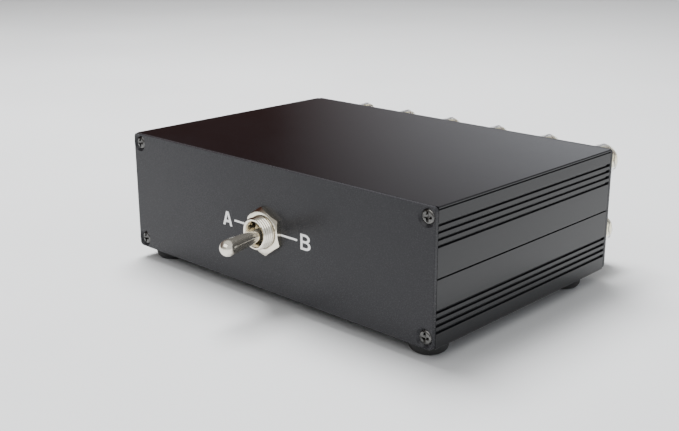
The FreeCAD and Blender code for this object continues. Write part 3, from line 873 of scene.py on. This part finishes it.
    def _feet(self) -> None:
        """Four tapered rubber bumpers with a rounded lower edge.

        The wall tapers in a straight line from the stuck face to the sole, and the edge
        is a quarter circle.
        """
        low, high = node_box("rubber_feet")
        top, rim, edge = self.foot_radius, self.foot_rim, self.foot_edge
        inner = self.foot_sole - edge
        rows = [(0.0, high[2]), (top - rim, high[2]), (top, high[2] - rim)]
        rows += [(inner + edge * math.cos(t), low[2] + edge - edge * math.sin(t))
                 for t in np.linspace(0, math.pi / 2, self.foot_edge_rings)]
        rows.append((0.0, low[2]))
        surface = Surface()
        for x in (low[0] + top, high[0] - top):
            for y in (low[1] + top, high[1] - top):
                surface.grid(turned(rows, (x, y), self.foot_points, Axis.Z))
        surface.build("rubber_bumpers", RUBBER_BLACK, ENCLOSURE_BODY, Slot.RUBBER, ["rubber_feet"])


@dataclass
class PanelScrews:
    """Countersunk screws with slightly domed heads and cross recesses."""

    places: Sequence[Place]
    head_radius: float = 2.5
    dome: float = 0.45
    rim_sink: float = 0.75
    rim_height: float = 0.15
    neck_radius: float = 1.4
    neck_depth: float = 1.55
    cross_length: float = 3.5
    cross_width: float = 1.15
    cross_tip: float = 0.7
    cross_depth: float = 1.1
    cross_wall: float = 0.09
    samples: int = 49
    sharp: float = 40.0

    def build(self) -> None:
        """Make the screws of both panels as one piece."""
        surface = Surface()
        for place in self.places:
            self._screw(surface, place, BOX_LOW[1], -1)
            self._screw(surface, place, BOX_HIGH[1], 1)
        surface.build("cross_head_screws", SCREW_STEEL, ENCLOSURE_BODY, Slot.STEEL,
                      ["panel_screws"], sharp=self.sharp)

    def _screw(self, surface: Surface, place: Place, face: float, outwards: int) -> None:
        """Add one screw.

        The head is a square grid pressed onto a disc: x = u sqrt(1 - v^2 / 2) and
        z = v sqrt(1 - u^2 / 2). Its height falls with the sixth power of the distance
        from the middle, less the recess.

        Args:
            surface: the surface to add to.
            place: the screw's axis, as x and z.
            face: the place of the panel's outer face along Y.
            outwards: the sign of the way out of the box along Y.
        """
        step = np.linspace(-1, 1, self.samples)
        u, v = np.meshgrid(step, step, indexing="ij")
        x = self.head_radius * u * np.sqrt(1 - v * v / 2)
        z = self.head_radius * v * np.sqrt(1 - u * u / 2)
        reach = (x * x + z * z) / self.head_radius ** 2
        height = self.dome * (1 - reach ** 3) - self.rim_sink - self._recess(x, z)
        head = np.stack([place[0] + x, face + outwards * height, place[1] + z], -1)
        rim = np.concatenate([head[:-1, 0], head[-1, :-1], head[:0:-1, -1], head[0, :0:-1]])
        middle = np.array([place[0], 0.0, place[1]])
        flat = rim * (1, 0, 1) - middle
        levels = [rim]
        for radius, depth in ((self.head_radius, self.rim_sink + self.rim_height),
                              (self.neck_radius, self.neck_depth)):
            levels.append(flat * radius / self.head_radius + middle
                          + (0, face - outwards * depth, 0))
        surface.grid(head, wrap=False)
        surface.grid(np.stack(levels))
        surface.cap(levels[-1])

    def _recess(self, x: np.ndarray, z: np.ndarray) -> np.ndarray:
        """The depth of the cross recess, which is deepest in the middle.

        Along an arm, its depth falls with the square root of the distance left to the
        arm's end, and its width falls in a straight line.

        Args:
            x: places across the head.
            z: places up the head.

        Returns:
            The depth at each place.
        """
        depth = np.zeros_like(x)
        for along, across in ((x, z), (z, x)):
            taper = np.clip(1 - np.abs(along) / (self.cross_length / 2), 0, 1)
            half = self.cross_width / 2 * (self.cross_tip + (1 - self.cross_tip) * taper)
            wall = np.clip((half - np.abs(across)) / self.cross_wall + 0.5, 0, 1)
            depth = np.maximum(depth, self.cross_depth * np.sqrt(taper) * wall)
        return depth


@dataclass(frozen=True)
class Bowl:
    """A half ellipse in a letter's unit box, from its straight side to its farthest point."""

    middle: float
    half: float
    start: float
    end: float

    def reach(self, height: np.ndarray) -> np.ndarray:
        """Its reach to the right: start + (end - start) sqrt(1 - ((height - middle) / half)^2).

        Args:
            height: the heights.

        Returns:
            The reach at each height.
        """
        share = np.clip(1 - ((height - self.middle) / self.half) ** 2, 0, 1)
        return self.start + (self.end - self.start) * np.sqrt(share)


@dataclass
class Markings:
    """The switch-position letters and their leader lines on the front panel.

    A letter's box is its lower left corner, as x and z, its width and its height; a line
    is its left end, its right end and its height.
    """

    ink: float = 0.03
    line_height: float = 0.75
    line_round: float = 0.08
    letter_a: tuple[float, float, float, float] = (-23.35, 25.6, 5.3, 5.5)
    letter_b: tuple[float, float, float, float] = (18.2, 25.4, 5.0, 5.8)
    line_a: tuple[float, float, float] = (-16.8, -8.3, 28.4)
    line_b: tuple[float, float, float] = (8.3, 16.6, 28.3)
    outer_bowls: tuple[Bowl, Bowl] = (Bowl(0.285, 0.285, 0.5, 1.0),
                                      Bowl(0.735, 0.265, 0.47, 0.94))
    inner_bowls: tuple[Bowl, Bowl] = (Bowl(0.295, 0.145, 0.5, 0.77),
                                      Bowl(0.7225, 0.13, 0.47, 0.71))
    outer_rows: int = 61
    inner_rows: int = 21
    stem_width: float = 0.22

    def build(self) -> None:
        """Make the letters and the lines."""
        self._letter("mark_a", self._letter_a(), self.letter_a)
        self._letter("mark_b", self._letter_b(), self.letter_b)
        self._line("mark_a_line", self.line_a)
        self._line("mark_b_line", self.line_b)

    @staticmethod
    def _letter_a() -> tuple[Loop, list[Loop]]:
        """The outline of a bold A in a unit box, and its counter.

        Returns:
            The outline, and a list of the one counter.
        """
        outline = [(0, 0), (0.24, 0), (0.32, 0.225), (0.68, 0.225), (0.76, 0), (1, 0),
                   (0.635, 1), (0.365, 1)]
        return np.array(outline), [np.array([(0.375, 0.40), (0.625, 0.40), (0.5, 0.77)])]

    def _letter_b(self) -> tuple[Loop, list[Loop]]:
        """The outline of a bold B in a unit box, and its two counters.

        Its right side is the larger of two half ellipses at each height.

        Returns:
            The outline, and a list of the counters.
        """
        height = np.linspace(0, 1, self.outer_rows)
        right = np.maximum(*(bowl.reach(height) for bowl in self.outer_bowls))
        outline = np.concatenate([[(0, 0)], np.stack([right, height], -1), [(0, 1)]])
        counters = []
        for bowl in self.inner_bowls:
            low, high = bowl.middle - bowl.half, bowl.middle + bowl.half
            height = np.linspace(low, high, self.inner_rows)
            stem = [(self.stem_width, high), (self.stem_width, low)]
            counters.append(np.concatenate([np.stack([bowl.reach(height), height], -1), stem]))
        return outline, counters

    def _letter(self, name: str, shape: tuple[Loop, list[Loop]],
                box: tuple[float, float, float, float]) -> None:
        """Lay one letter as flat ink on the panel.

        Args:
            name: the piece's name.
            shape: its outline and counters in a unit box.
            box: its box on the panel.
        """
        corner, size = np.array(box[:2]), np.array(box[2:])
        outline, counters = shape
        surface = Surface()
        surface.flat(corner + outline * size, [corner + counter * size for counter in counters],
                     BOX_LOW[1] - self.ink)
        surface.build(name, MARK_WHITE, ENCLOSURE_BODY, Slot.PANEL)

    def _line(self, name: str, span: tuple[float, float, float]) -> None:
        """Draw one leader line.

        Args:
            name: the piece's name.
            span: its left end, right end and height.
        """
        left, right, z = span
        loop = rounded_rectangle(((left + right) / 2, z), (right - left, self.line_height),
                                 self.line_round, SMALL_CORNER_STEPS)
        rows = extruded(loop, (BOX_LOW[1] - self.ink, BOX_LOW[1]))
        surface = Surface()
        surface.grid(rows)
        surface.cap(rows[0])
        surface.build(name, MARK_WHITE, ENCLOSURE_BODY, Slot.PANEL)


# --- toggle switch

@dataclass
class ToggleSwitch:
    """The nut, the threaded bushing, the bat handle and the springs of the switch."""

    pivot: np.ndarray = field(default_factory=lambda: joint_place("lever_throw"))
    tilt: float = 11.0
    nut_across: float = 16.0
    nut_turn: float = 5.5
    nut_corner_trim: float = 0.12
    nut_chamfer_angle: float = 30.0
    nut_face_share: float = 0.955
    nut_bore_trim: float = 0.35
    nut_back_trim: float = 0.1
    nut_points: int = 180
    thread: Thread = Thread(rows=10, root=1.15)
    bushing_points: int = 120
    bore_radius: float = 4.7
    bore_trim: float = 0.25
    bore_floor: float = 1.0
    mouth_chamfer: float = 0.45
    lever_length: float = 25.5
    lever_points: int = 72
    arc_points: int = 15
    tip_radius: float = 3.0
    taper_rows: int = 13
    taper_ease: float = 0.35
    neck_radius: float = 2.3
    neck_length: float = 10.0
    ball_radius: float = 3.4
    tail_radius: float = 1.6
    tail_length: float = 8.2
    tail_trim: float = 0.3
    pole_count: int = 4
    plunger_back: float = 8.8
    spring_seat: float = 5.4
    spring_radius: float = 0.8
    spring_inset: float = 1.2
    spring_wire: float = 0.15
    spring_gap: float = 0.02
    spring_turns: int = 5
    turn_points: int = 24
    wire_points: int = 8

    def build(self) -> None:
        """Make every piece of the switch and dress the nodes that stay."""
        self._nut()
        self._bushing()
        self._lever()
        self._springs()
        dress_nodes(STEEL, "lever_pivot_pin", "switch_frame")
        dress_nodes(CONTACT_SILVER, "a_side_terminals", "common_terminals", "b_side_terminals",
                    "contact_plungers", "contact_rockers")
        dress_nodes(NICKEL, "backing_nut")
        dress_nodes(CASE_RESIN, "switch_case")
        dress_nodes(YOKE_RESIN, "plunger_yoke")

    @property
    def axis(self) -> Place:
        """The switch's axis, as x and z."""
        return self.pivot[0], self.pivot[2]

    def _nut(self) -> None:
        """The hexagonal nut, whose corners are turned down by a cone at its outer face.

        On the cone, a point's depth behind the face is its distance outside the face's
        circle times the tangent of the chamfer's angle.
        """
        low, high = node_box("mounting_nut")[:, 1]
        turn = math.radians(self.nut_turn)
        rim = flats_radius(ring_angles(self.nut_points) - turn, HEXAGON, self.nut_across,
                           self.nut_corner_trim)
        face = self.nut_across / 2 * self.nut_face_share
        drop = (rim - face) * math.tan(math.radians(self.nut_chamfer_angle))
        bore, trim = node_box("switch_bushing")[1, 0] - self.pivot[0], self.nut_bore_trim
        rows = [(bore, low + trim), (bore + trim, low), (face, low), (rim, low + drop),
                (rim, high - self.nut_back_trim), (face, high), (bore, high)]
        surface = Surface()
        surface.grid(turned(rows, self.axis, self.nut_points))
        surface.build("panel_nut", NICKEL, ENCLOSURE_BODY, Slot.NICKEL, ["mounting_nut"])

    def _bushing(self) -> None:
        """The threaded neck, with a chamfered mouth and a plain bore."""
        (left, low, _), (right, high, _) = node_box("switch_bushing")
        crest = (right - left) / 2
        thread = [(np.minimum(radius, crest - self.mouth_chamfer + y - low), y)
                  for radius, y in self.thread.rings(crest, low, high, self.bushing_points)]
        bore = self.bore_radius
        inner = [(bore, high), (bore, high - self.bore_floor), (bore, low + self.bore_trim),
                 (bore + self.bore_trim, low)]
        surface = Surface()
        surface.grid(turned(inner + thread + inner[:1], self.axis, self.bushing_points))
        surface.build("threaded_bushing", NICKEL, ENCLOSURE_BODY, Slot.NICKEL,
                      ["switch_bushing"], sharp=self.thread.sharp)

    def _lever(self) -> None:
        """The bat handle with its ball and tail, one turned profile.

        The tip is a quarter circle, the handle a straight taper that eases into the
        neck, and the ball a circle about the pivot.
        """
        centre, ball, trim = self.pivot[1], self.ball_radius, self.tail_trim
        tip = centre - self.lever_length
        rows = [(self.tip_radius * math.sin(t), tip - self.tip_radius * math.cos(t))
                for t in np.linspace(0, math.pi / 2, self.arc_points)]
        taper = np.linspace(0, 1, self.taper_rows + 1)[1:]
        smooth = taper * taper * (3 - 2 * taper)
        eased = smooth * self.taper_ease + taper * (1 - self.taper_ease)
        reach = self.lever_length - self.neck_length
        rows += [(self.tip_radius + (self.neck_radius - self.tip_radius) * e, tip + reach * t)
                 for t, e in zip(taper, eased)]
        start = math.asin(self.neck_radius / ball)
        stop = math.pi - math.asin(self.tail_radius / ball)
        rows += [(ball * math.sin(a), centre - ball * math.cos(a))
                 for a in np.linspace(start, stop, self.arc_points)]
        end = centre + self.tail_length
        rows += [(self.tail_radius, end - trim), (self.tail_radius - trim, end), (0.0, end)]
        surface = Surface()
        surface.grid(swung(turned(rows, self.axis, self.lever_points), self.pivot, self.tilt))
        surface.build("bat_handle", LEVER_NICKEL, LEVER_BODY, Slot.NICKEL, ["toggle_lever"])

    def _springs(self) -> None:
        """The coil springs behind the four plungers, as one piece.

        A ring of the wire runs along a helix, square to the spring's axis.
        """
        low, high = node_box("plunger_springs")[:, 2]
        start, stop = self.pivot[1] + self.spring_seat, self.pivot[1] + self.plunger_back
        share = np.linspace(0, 1, self.spring_turns * self.turn_points + 1)[:, None]
        coil, ring = TURN * self.spring_turns * share, ring_angles(self.wire_points)
        wire, edge = self.spring_wire, self.spring_wire + self.spring_gap
        out = self.spring_radius - wire + wire * np.cos(ring)
        along = start + edge + (stop - start - 2 * edge) * share + wire * np.sin(ring)
        surface = Surface()
        for height in np.linspace(low + self.spring_inset, high - self.spring_inset,
                                  self.pole_count):
            rows = np.stack([self.pivot[0] + out * np.cos(coil), along,
                             height + out * np.sin(coil)], -1)
            surface.closed(swung(rows, self.pivot, self.tilt))
        piece = surface.build("coil_springs", STEEL, None, Slot.STEEL, ["plunger_springs"])
        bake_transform(piece)


# --- binding posts

@dataclass
class BindingPosts:
    """Twelve binding posts: stems, keyed insulators, brass cores and clear caps."""

    sides: int = 12
    points: int = 96
    ring_across: float = 12.4
    ring_corner_trim: float = 0.06
    cap_across: float = 12.2
    cap_corner_trim: float = 0.08
    pocket_across: float = 9.4
    pocket_corner_trim: float = 0.05
    edge: float = 0.5
    edge_share: float = 0.3
    core_across: float = 8.0
    core_corner_trim: float = 0.1
    core_trim: float = 0.3
    bore_radius: float = 3.06
    stem_radius: float = 3.0
    stem_trim: float = 0.3
    stem_points: int = 40
    stem_shoulder: tuple[float, float] = (0.1, 0.2)
    socket_radius: float = 2.0
    socket_trim: float = 0.25
    socket_depth: float = 12.8
    socket_cone: float = 0.6
    thread: Thread = Thread(rows=6, root=1.1)
    key_width: float = 7.8
    key_round: float = 0.25

    @staticmethod
    def places() -> list[np.ndarray]:
        """The (x, z) axis of every post, from the caps' nodes."""
        boxes = [node_box(f"post_cap_{number:02d}") for number in range(1, POST_COUNT + 1)]
        return [box.mean(axis=0)[[0, 2]] for box in boxes]

    def build(self) -> None:
        """Make every piece of the posts and dress the nodes that stay."""
        places = self.places()
        half = len(places) // 2
        self._stems(places)
        self._rings("red_insulators", "red_post_rings", RED_PLASTIC, Slot.RED, places[:half])
        self._rings("black_insulators", "black_post_rings", BLACK_PLASTIC, Slot.BLACK,
                    places[half:])
        for number, place in enumerate(places, 1):
            self._core(number, place)
            self._cap(number, place)
        dress_nodes(CONTACT_SILVER, "solder_tags")
        dress_nodes(RED_SLEEVE, "red_wires")
        dress_nodes(BLACK_SLEEVE, "black_wires")

    def _rim(self, sides: int, across: float, trim: float) -> np.ndarray:
        """The radii of a ring with flats."""
        return flats_radius(ring_angles(self.points), sides, across, trim)

    def _stems(self, places: Sequence[np.ndarray]) -> None:
        """Threaded stems with a plug socket in their ends.

        Args:
            places: the axes of the posts.
        """
        low, high = node_box("post_stems")[:, 1]
        face, stem, socket = BOX_HIGH[1], self.stem_radius, self.socket_radius
        foot, start = face + np.array(self.stem_shoulder)
        floor = high - self.socket_depth
        rows = [(0.0, low), (stem, low), (stem, foot)]
        rows += self.thread.rings(stem, start, high - self.stem_trim, self.stem_points)
        rows += [(stem - self.stem_trim, high), (socket + self.socket_trim, high),
                 (socket, high - self.socket_trim), (socket, floor),
                 (0.0, floor - self.socket_cone)]
        surface = Surface()
        for place in places:
            surface.grid(turned(rows, place, self.stem_points))
        surface.build("threaded_stems", POST_BRASS, ENCLOSURE_BODY, Slot.BRASS, ["post_stems"],
                      sharp=self.thread.sharp)

    def _rings(self, name: str, node: str, finish: Finish, slot: Slot,
               places: Sequence[np.ndarray]) -> None:
        """Insulating collars with softened flats and a square key in the panel.

        Args:
            name: the piece's name.
            node: the CAD node that it stands for.
            finish: its finish.
            slot: its slot in the record.
            places: the axes of the posts.
        """
        low, high = node_box(node)[:, 1]
        face, bore, key = BOX_HIGH[1], self.stem_radius, (self.key_width, self.key_width)
        soft, slight = self.edge, self.edge * self.edge_share
        rim = self._rim(self.sides, self.ring_across, self.ring_corner_trim)
        rows = [(bore, face), (rim, face), (rim, high - soft), (rim - slight, high - slight),
                (rim - soft, high), (bore, high), (bore, face)]
        surface = Surface()
        for place in places:
            surface.grid(turned(rows, place, self.points))
            loop = rounded_rectangle(place, key, self.key_round, SMALL_CORNER_STEPS)
            surface.closed(extruded(loop, (low, face)))
        surface.build(name, finish, ENCLOSURE_BODY, slot, [node])

    def _core(self, number: int, place: np.ndarray) -> None:
        """The hexagonal brass insert of one cap.

        Args:
            number: the post's number.
            place: its axis.
        """
        node = f"cap_core_{number:02d}"
        low, high = node_box(node)[:, 1]
        rim = self._rim(HEXAGON, self.core_across, self.core_corner_trim)
        bore, trim = self.bore_radius, self.core_trim
        rows = [(bore, low), (rim - trim, low), (rim, low + trim), (rim, high - trim),
                (rim - trim, high), (bore + trim, high), (bore, high - trim), (bore, low)]
        surface = Surface()
        surface.grid(turned(rows, place, self.points))
        surface.build(f"brass_core_{number:02d}", POST_BRASS, f"core_{number:02d}", Slot.BRASS,
                      [node])

    def _cap(self, number: int, place: np.ndarray) -> None:
        """The clear finger grip of one cap, with softened flats.

        Args:
            number: the post's number.
            place: its axis.
        """
        node = f"post_cap_{number:02d}"
        low, high = node_box(node)[:, 1]
        rim = self._rim(self.sides, self.cap_across, self.cap_corner_trim)
        pocket = self._rim(self.sides, self.pocket_across, self.pocket_corner_trim)
        soft, slight = self.edge, self.edge * self.edge_share
        rows = [(pocket, low), (rim - soft, low), (rim - slight, low + slight), (rim, low + soft),
                (rim, high - soft), (rim - slight, high - slight), (rim - soft, high),
                (pocket, high), (pocket, low)]
        surface = Surface()
        surface.grid(turned(rows, place, self.points))
        surface.build(f"clear_cap_{number:02d}", CLEAR_PLASTIC, f"cap_{number:02d}", Slot.CLEAR,
                      [node])


# --- studio

@dataclass(frozen=True)
class SoftLight:
    """A rectangular area light aimed at the origin.

    One that isn't mirrored lights the surfaces but leaves no image in them.
    """

    name: str
    place: Way
    size: tuple[float, float]
    power: float
    mirrored: bool = True

    def build(self) -> None:
        """Make the light."""
        lamp = bpy.data.lights.new(self.name, "AREA")
        lamp.shape = "RECTANGLE"
        lamp.size, lamp.size_y = self.size
        lamp.energy = self.power
        holder = bpy.data.objects.new(self.name, lamp)
        holder.location = self.place
        holder.rotation_euler = (-Vector(self.place)).to_track_quat("-Z", "Y").to_euler()
        holder.visible_glossy = self.mirrored
        bpy.context.scene.collection.objects.link(holder)


@dataclass
class Studio:
    """The pale floor, the soft lights, the surroundings and the camera.

    Places are in metres for the lights and in millimetres for the camera. A span is the
    range of a direction's dot product over which a part of the surroundings fades in.
    """

    camera_right: float = 261.43
    camera_ahead: float = 234.37
    camera_height: float = 141.12
    azimuth: float = 43.75
    elevation: float = 17.05
    roll: float = -0.13
    lens: float = 54.19
    sensor: float = 36.0
    clip_start: float = 0.01
    floor_half: float = 3.0
    key_light: SoftLight = SoftLight("key_softbox", (-0.34, 0.16, 1.0), (0.55, 0.55), 30.0,
                                     mirrored=False)
    front_light: SoftLight = SoftLight("front_softbox", (0.05, -0.8, 0.76), (1.0, 0.6), 4.4)
    wall_edge: float = 41.0
    edge_span: Span = (-0.11, 0.20)
    behind_span: Span = (0.0, 0.25)
    front_span: Span = (0.6, 0.95)
    left_span: Span = (0.45, 0.7)
    right_span: Span = (0.2, 0.5)
    wall_top_span: Span = (0.34, 0.22)
    wall_top_share: float = 0.25
    ceiling_span: Span = (0.55, 0.90)
    room_dark: Color = (0.10, 0.088, 0.08)
    wood_brown: Color = (0.060, 0.022, 0.014)
    wall_pale: Color = (0.91, 0.93, 0.98)
    wall_front: Color = (0.46, 0.45, 0.43)
    wall_right: Color = (0.85, 0.86, 0.88)
    ceiling_white: Color = (0.72, 0.72, 0.70)
    backdrop: Color = (1.2, 1.2, 1.22)

    def build(self) -> None:
        """Make the whole studio."""
        self._camera()
        self._floor()
        self._room()
        self.key_light.build()
        self.front_light.build()

    def _camera(self) -> None:
        """The camera, from its azimuth, elevation and roll."""
        data = bpy.data.cameras.new("view_camera")
        data.lens = self.lens
        data.sensor_width = self.sensor
        data.clip_start = self.clip_start
        holder = bpy.data.objects.new("view_camera", data)
        bpy.context.scene.collection.objects.link(holder)
        az, el, roll = (math.radians(v) for v in (self.azimuth, self.elevation, self.roll))
        forward = Vector((-math.sin(az) * math.cos(el), math.cos(az) * math.cos(el), -math.sin(el)))
        right = Vector((math.cos(az), math.sin(az), 0.0))
        up = right.cross(forward)
        turned_right = math.cos(roll) * right + math.sin(roll) * up
        turned_up = -math.sin(roll) * right + math.cos(roll) * up
        basis = Matrix((turned_right, turned_up, -forward)).transposed()
        place = Vector((self.camera_right, FRONT_PANEL[0, 1] - self.camera_ahead,
                        self.camera_height)) * MM
        holder.matrix_world = Matrix.Translation(place) @ basis.to_4x4()
        bpy.context.scene.camera = holder

    def _floor(self) -> None:
        """A plain pale floor."""
        half = self.floor_half
        mesh = bpy.data.meshes.new("floor")
        mesh.from_pydata([(-half, -half, 0), (half, -half, 0), (half, half, 0), (-half, half, 0)],
                         [], [(0, 1, 2, 3)])
        mesh.materials.append(TABLE_WHITE.material())
        piece = bpy.data.objects.new("floor", mesh)
        bpy.context.scene.collection.objects.link(piece)

    def _room(self) -> None:
        """Surroundings for the light and the reflections.

        The walls are laid over each other: a dark room, wood on the left, the front, the
        right, and a pale wall behind. The pale wall's share is the product of how far a
        direction faces +Y, how far it faces the azimuth square to the wall's left edge,
        and how low it is. The ceiling fades in over the walls, and the camera itself sees
        a plain backdrop.
        """
        world = bpy.data.worlds.new("studio_room")
        bpy.context.scene.world = world
        world.use_nodes = True
        tools = NodeTools(world.node_tree)
        background = world.node_tree.nodes["Background"]
        edge = math.radians(self.wall_edge)
        pale = self._facing(tools, (math.cos(edge), math.sin(edge), 0.0), self.edge_span)
        behind = self._facing(tools, (0.0, 1.0, 0.0), self.behind_span)
        front = self._facing(tools, (0.0, -1.0, 0.0), self.front_span)
        left = self._facing(tools, (-1.0, 0.0, 0.0), self.left_span)
        right = self._facing(tools, (1.0, 0.0, 0.0), self.right_span)
        top = self._facing(tools, (0.0, 0.0, 1.0), self.wall_top_span, self.wall_top_share)
        ceiling = self._facing(tools, (0.0, 0.0, 1.0), self.ceiling_span)
        walls = tools.blended(left, self.room_dark, self.wood_brown)
        walls = tools.blended(front, walls, self.wall_front)
        walls = tools.blended(right, walls, self.wall_right)
        shown = tools.math("MULTIPLY", tools.math("MULTIPLY", pale, behind), top)
        walls = tools.blended(shown, walls, self.wall_pale)
        room = tools.blended(ceiling, walls, self.ceiling_white)
        seen = tools.add("ShaderNodeLightPath").outputs["Is Camera Ray"]
        tools.join(tools.blended(seen, room, self.backdrop), background.inputs["Color"])
        background.inputs["Strength"].default_value = 1.0

    @staticmethod
    def _facing(tools: NodeTools, way: Way, span: Span, least: float = 0.0) -> Socket:
        """How far the looked-at direction faces a way.

        It is the dot product of the two, mapped from the span to least and 1.

        Args:
            tools: the tree to work in.
            way: the fixed direction.
            span: the range of the product that is mapped.
            least: the value at the start of the span.

        Returns:
            The mapped value.
        """
        product = tools.add("ShaderNodeVectorMath", operation="DOT_PRODUCT")
        product.inputs[1].default_value = way
        tools.join(tools.add("ShaderNodeTexCoord").outputs["Generated"], product.inputs[0])
        return tools.mapped(product.outputs["Value"], least, 1.0, span)


def main() -> None:
    """Build the object and its studio."""
    logging.basicConfig(level=logging.INFO, format="%(name)s: %(message)s")
    Studio().build()
    Enclosure().build()
    Markings().build()
    ToggleSwitch().build()
    BindingPosts().build()


if __name__ == "__main__":
    main()
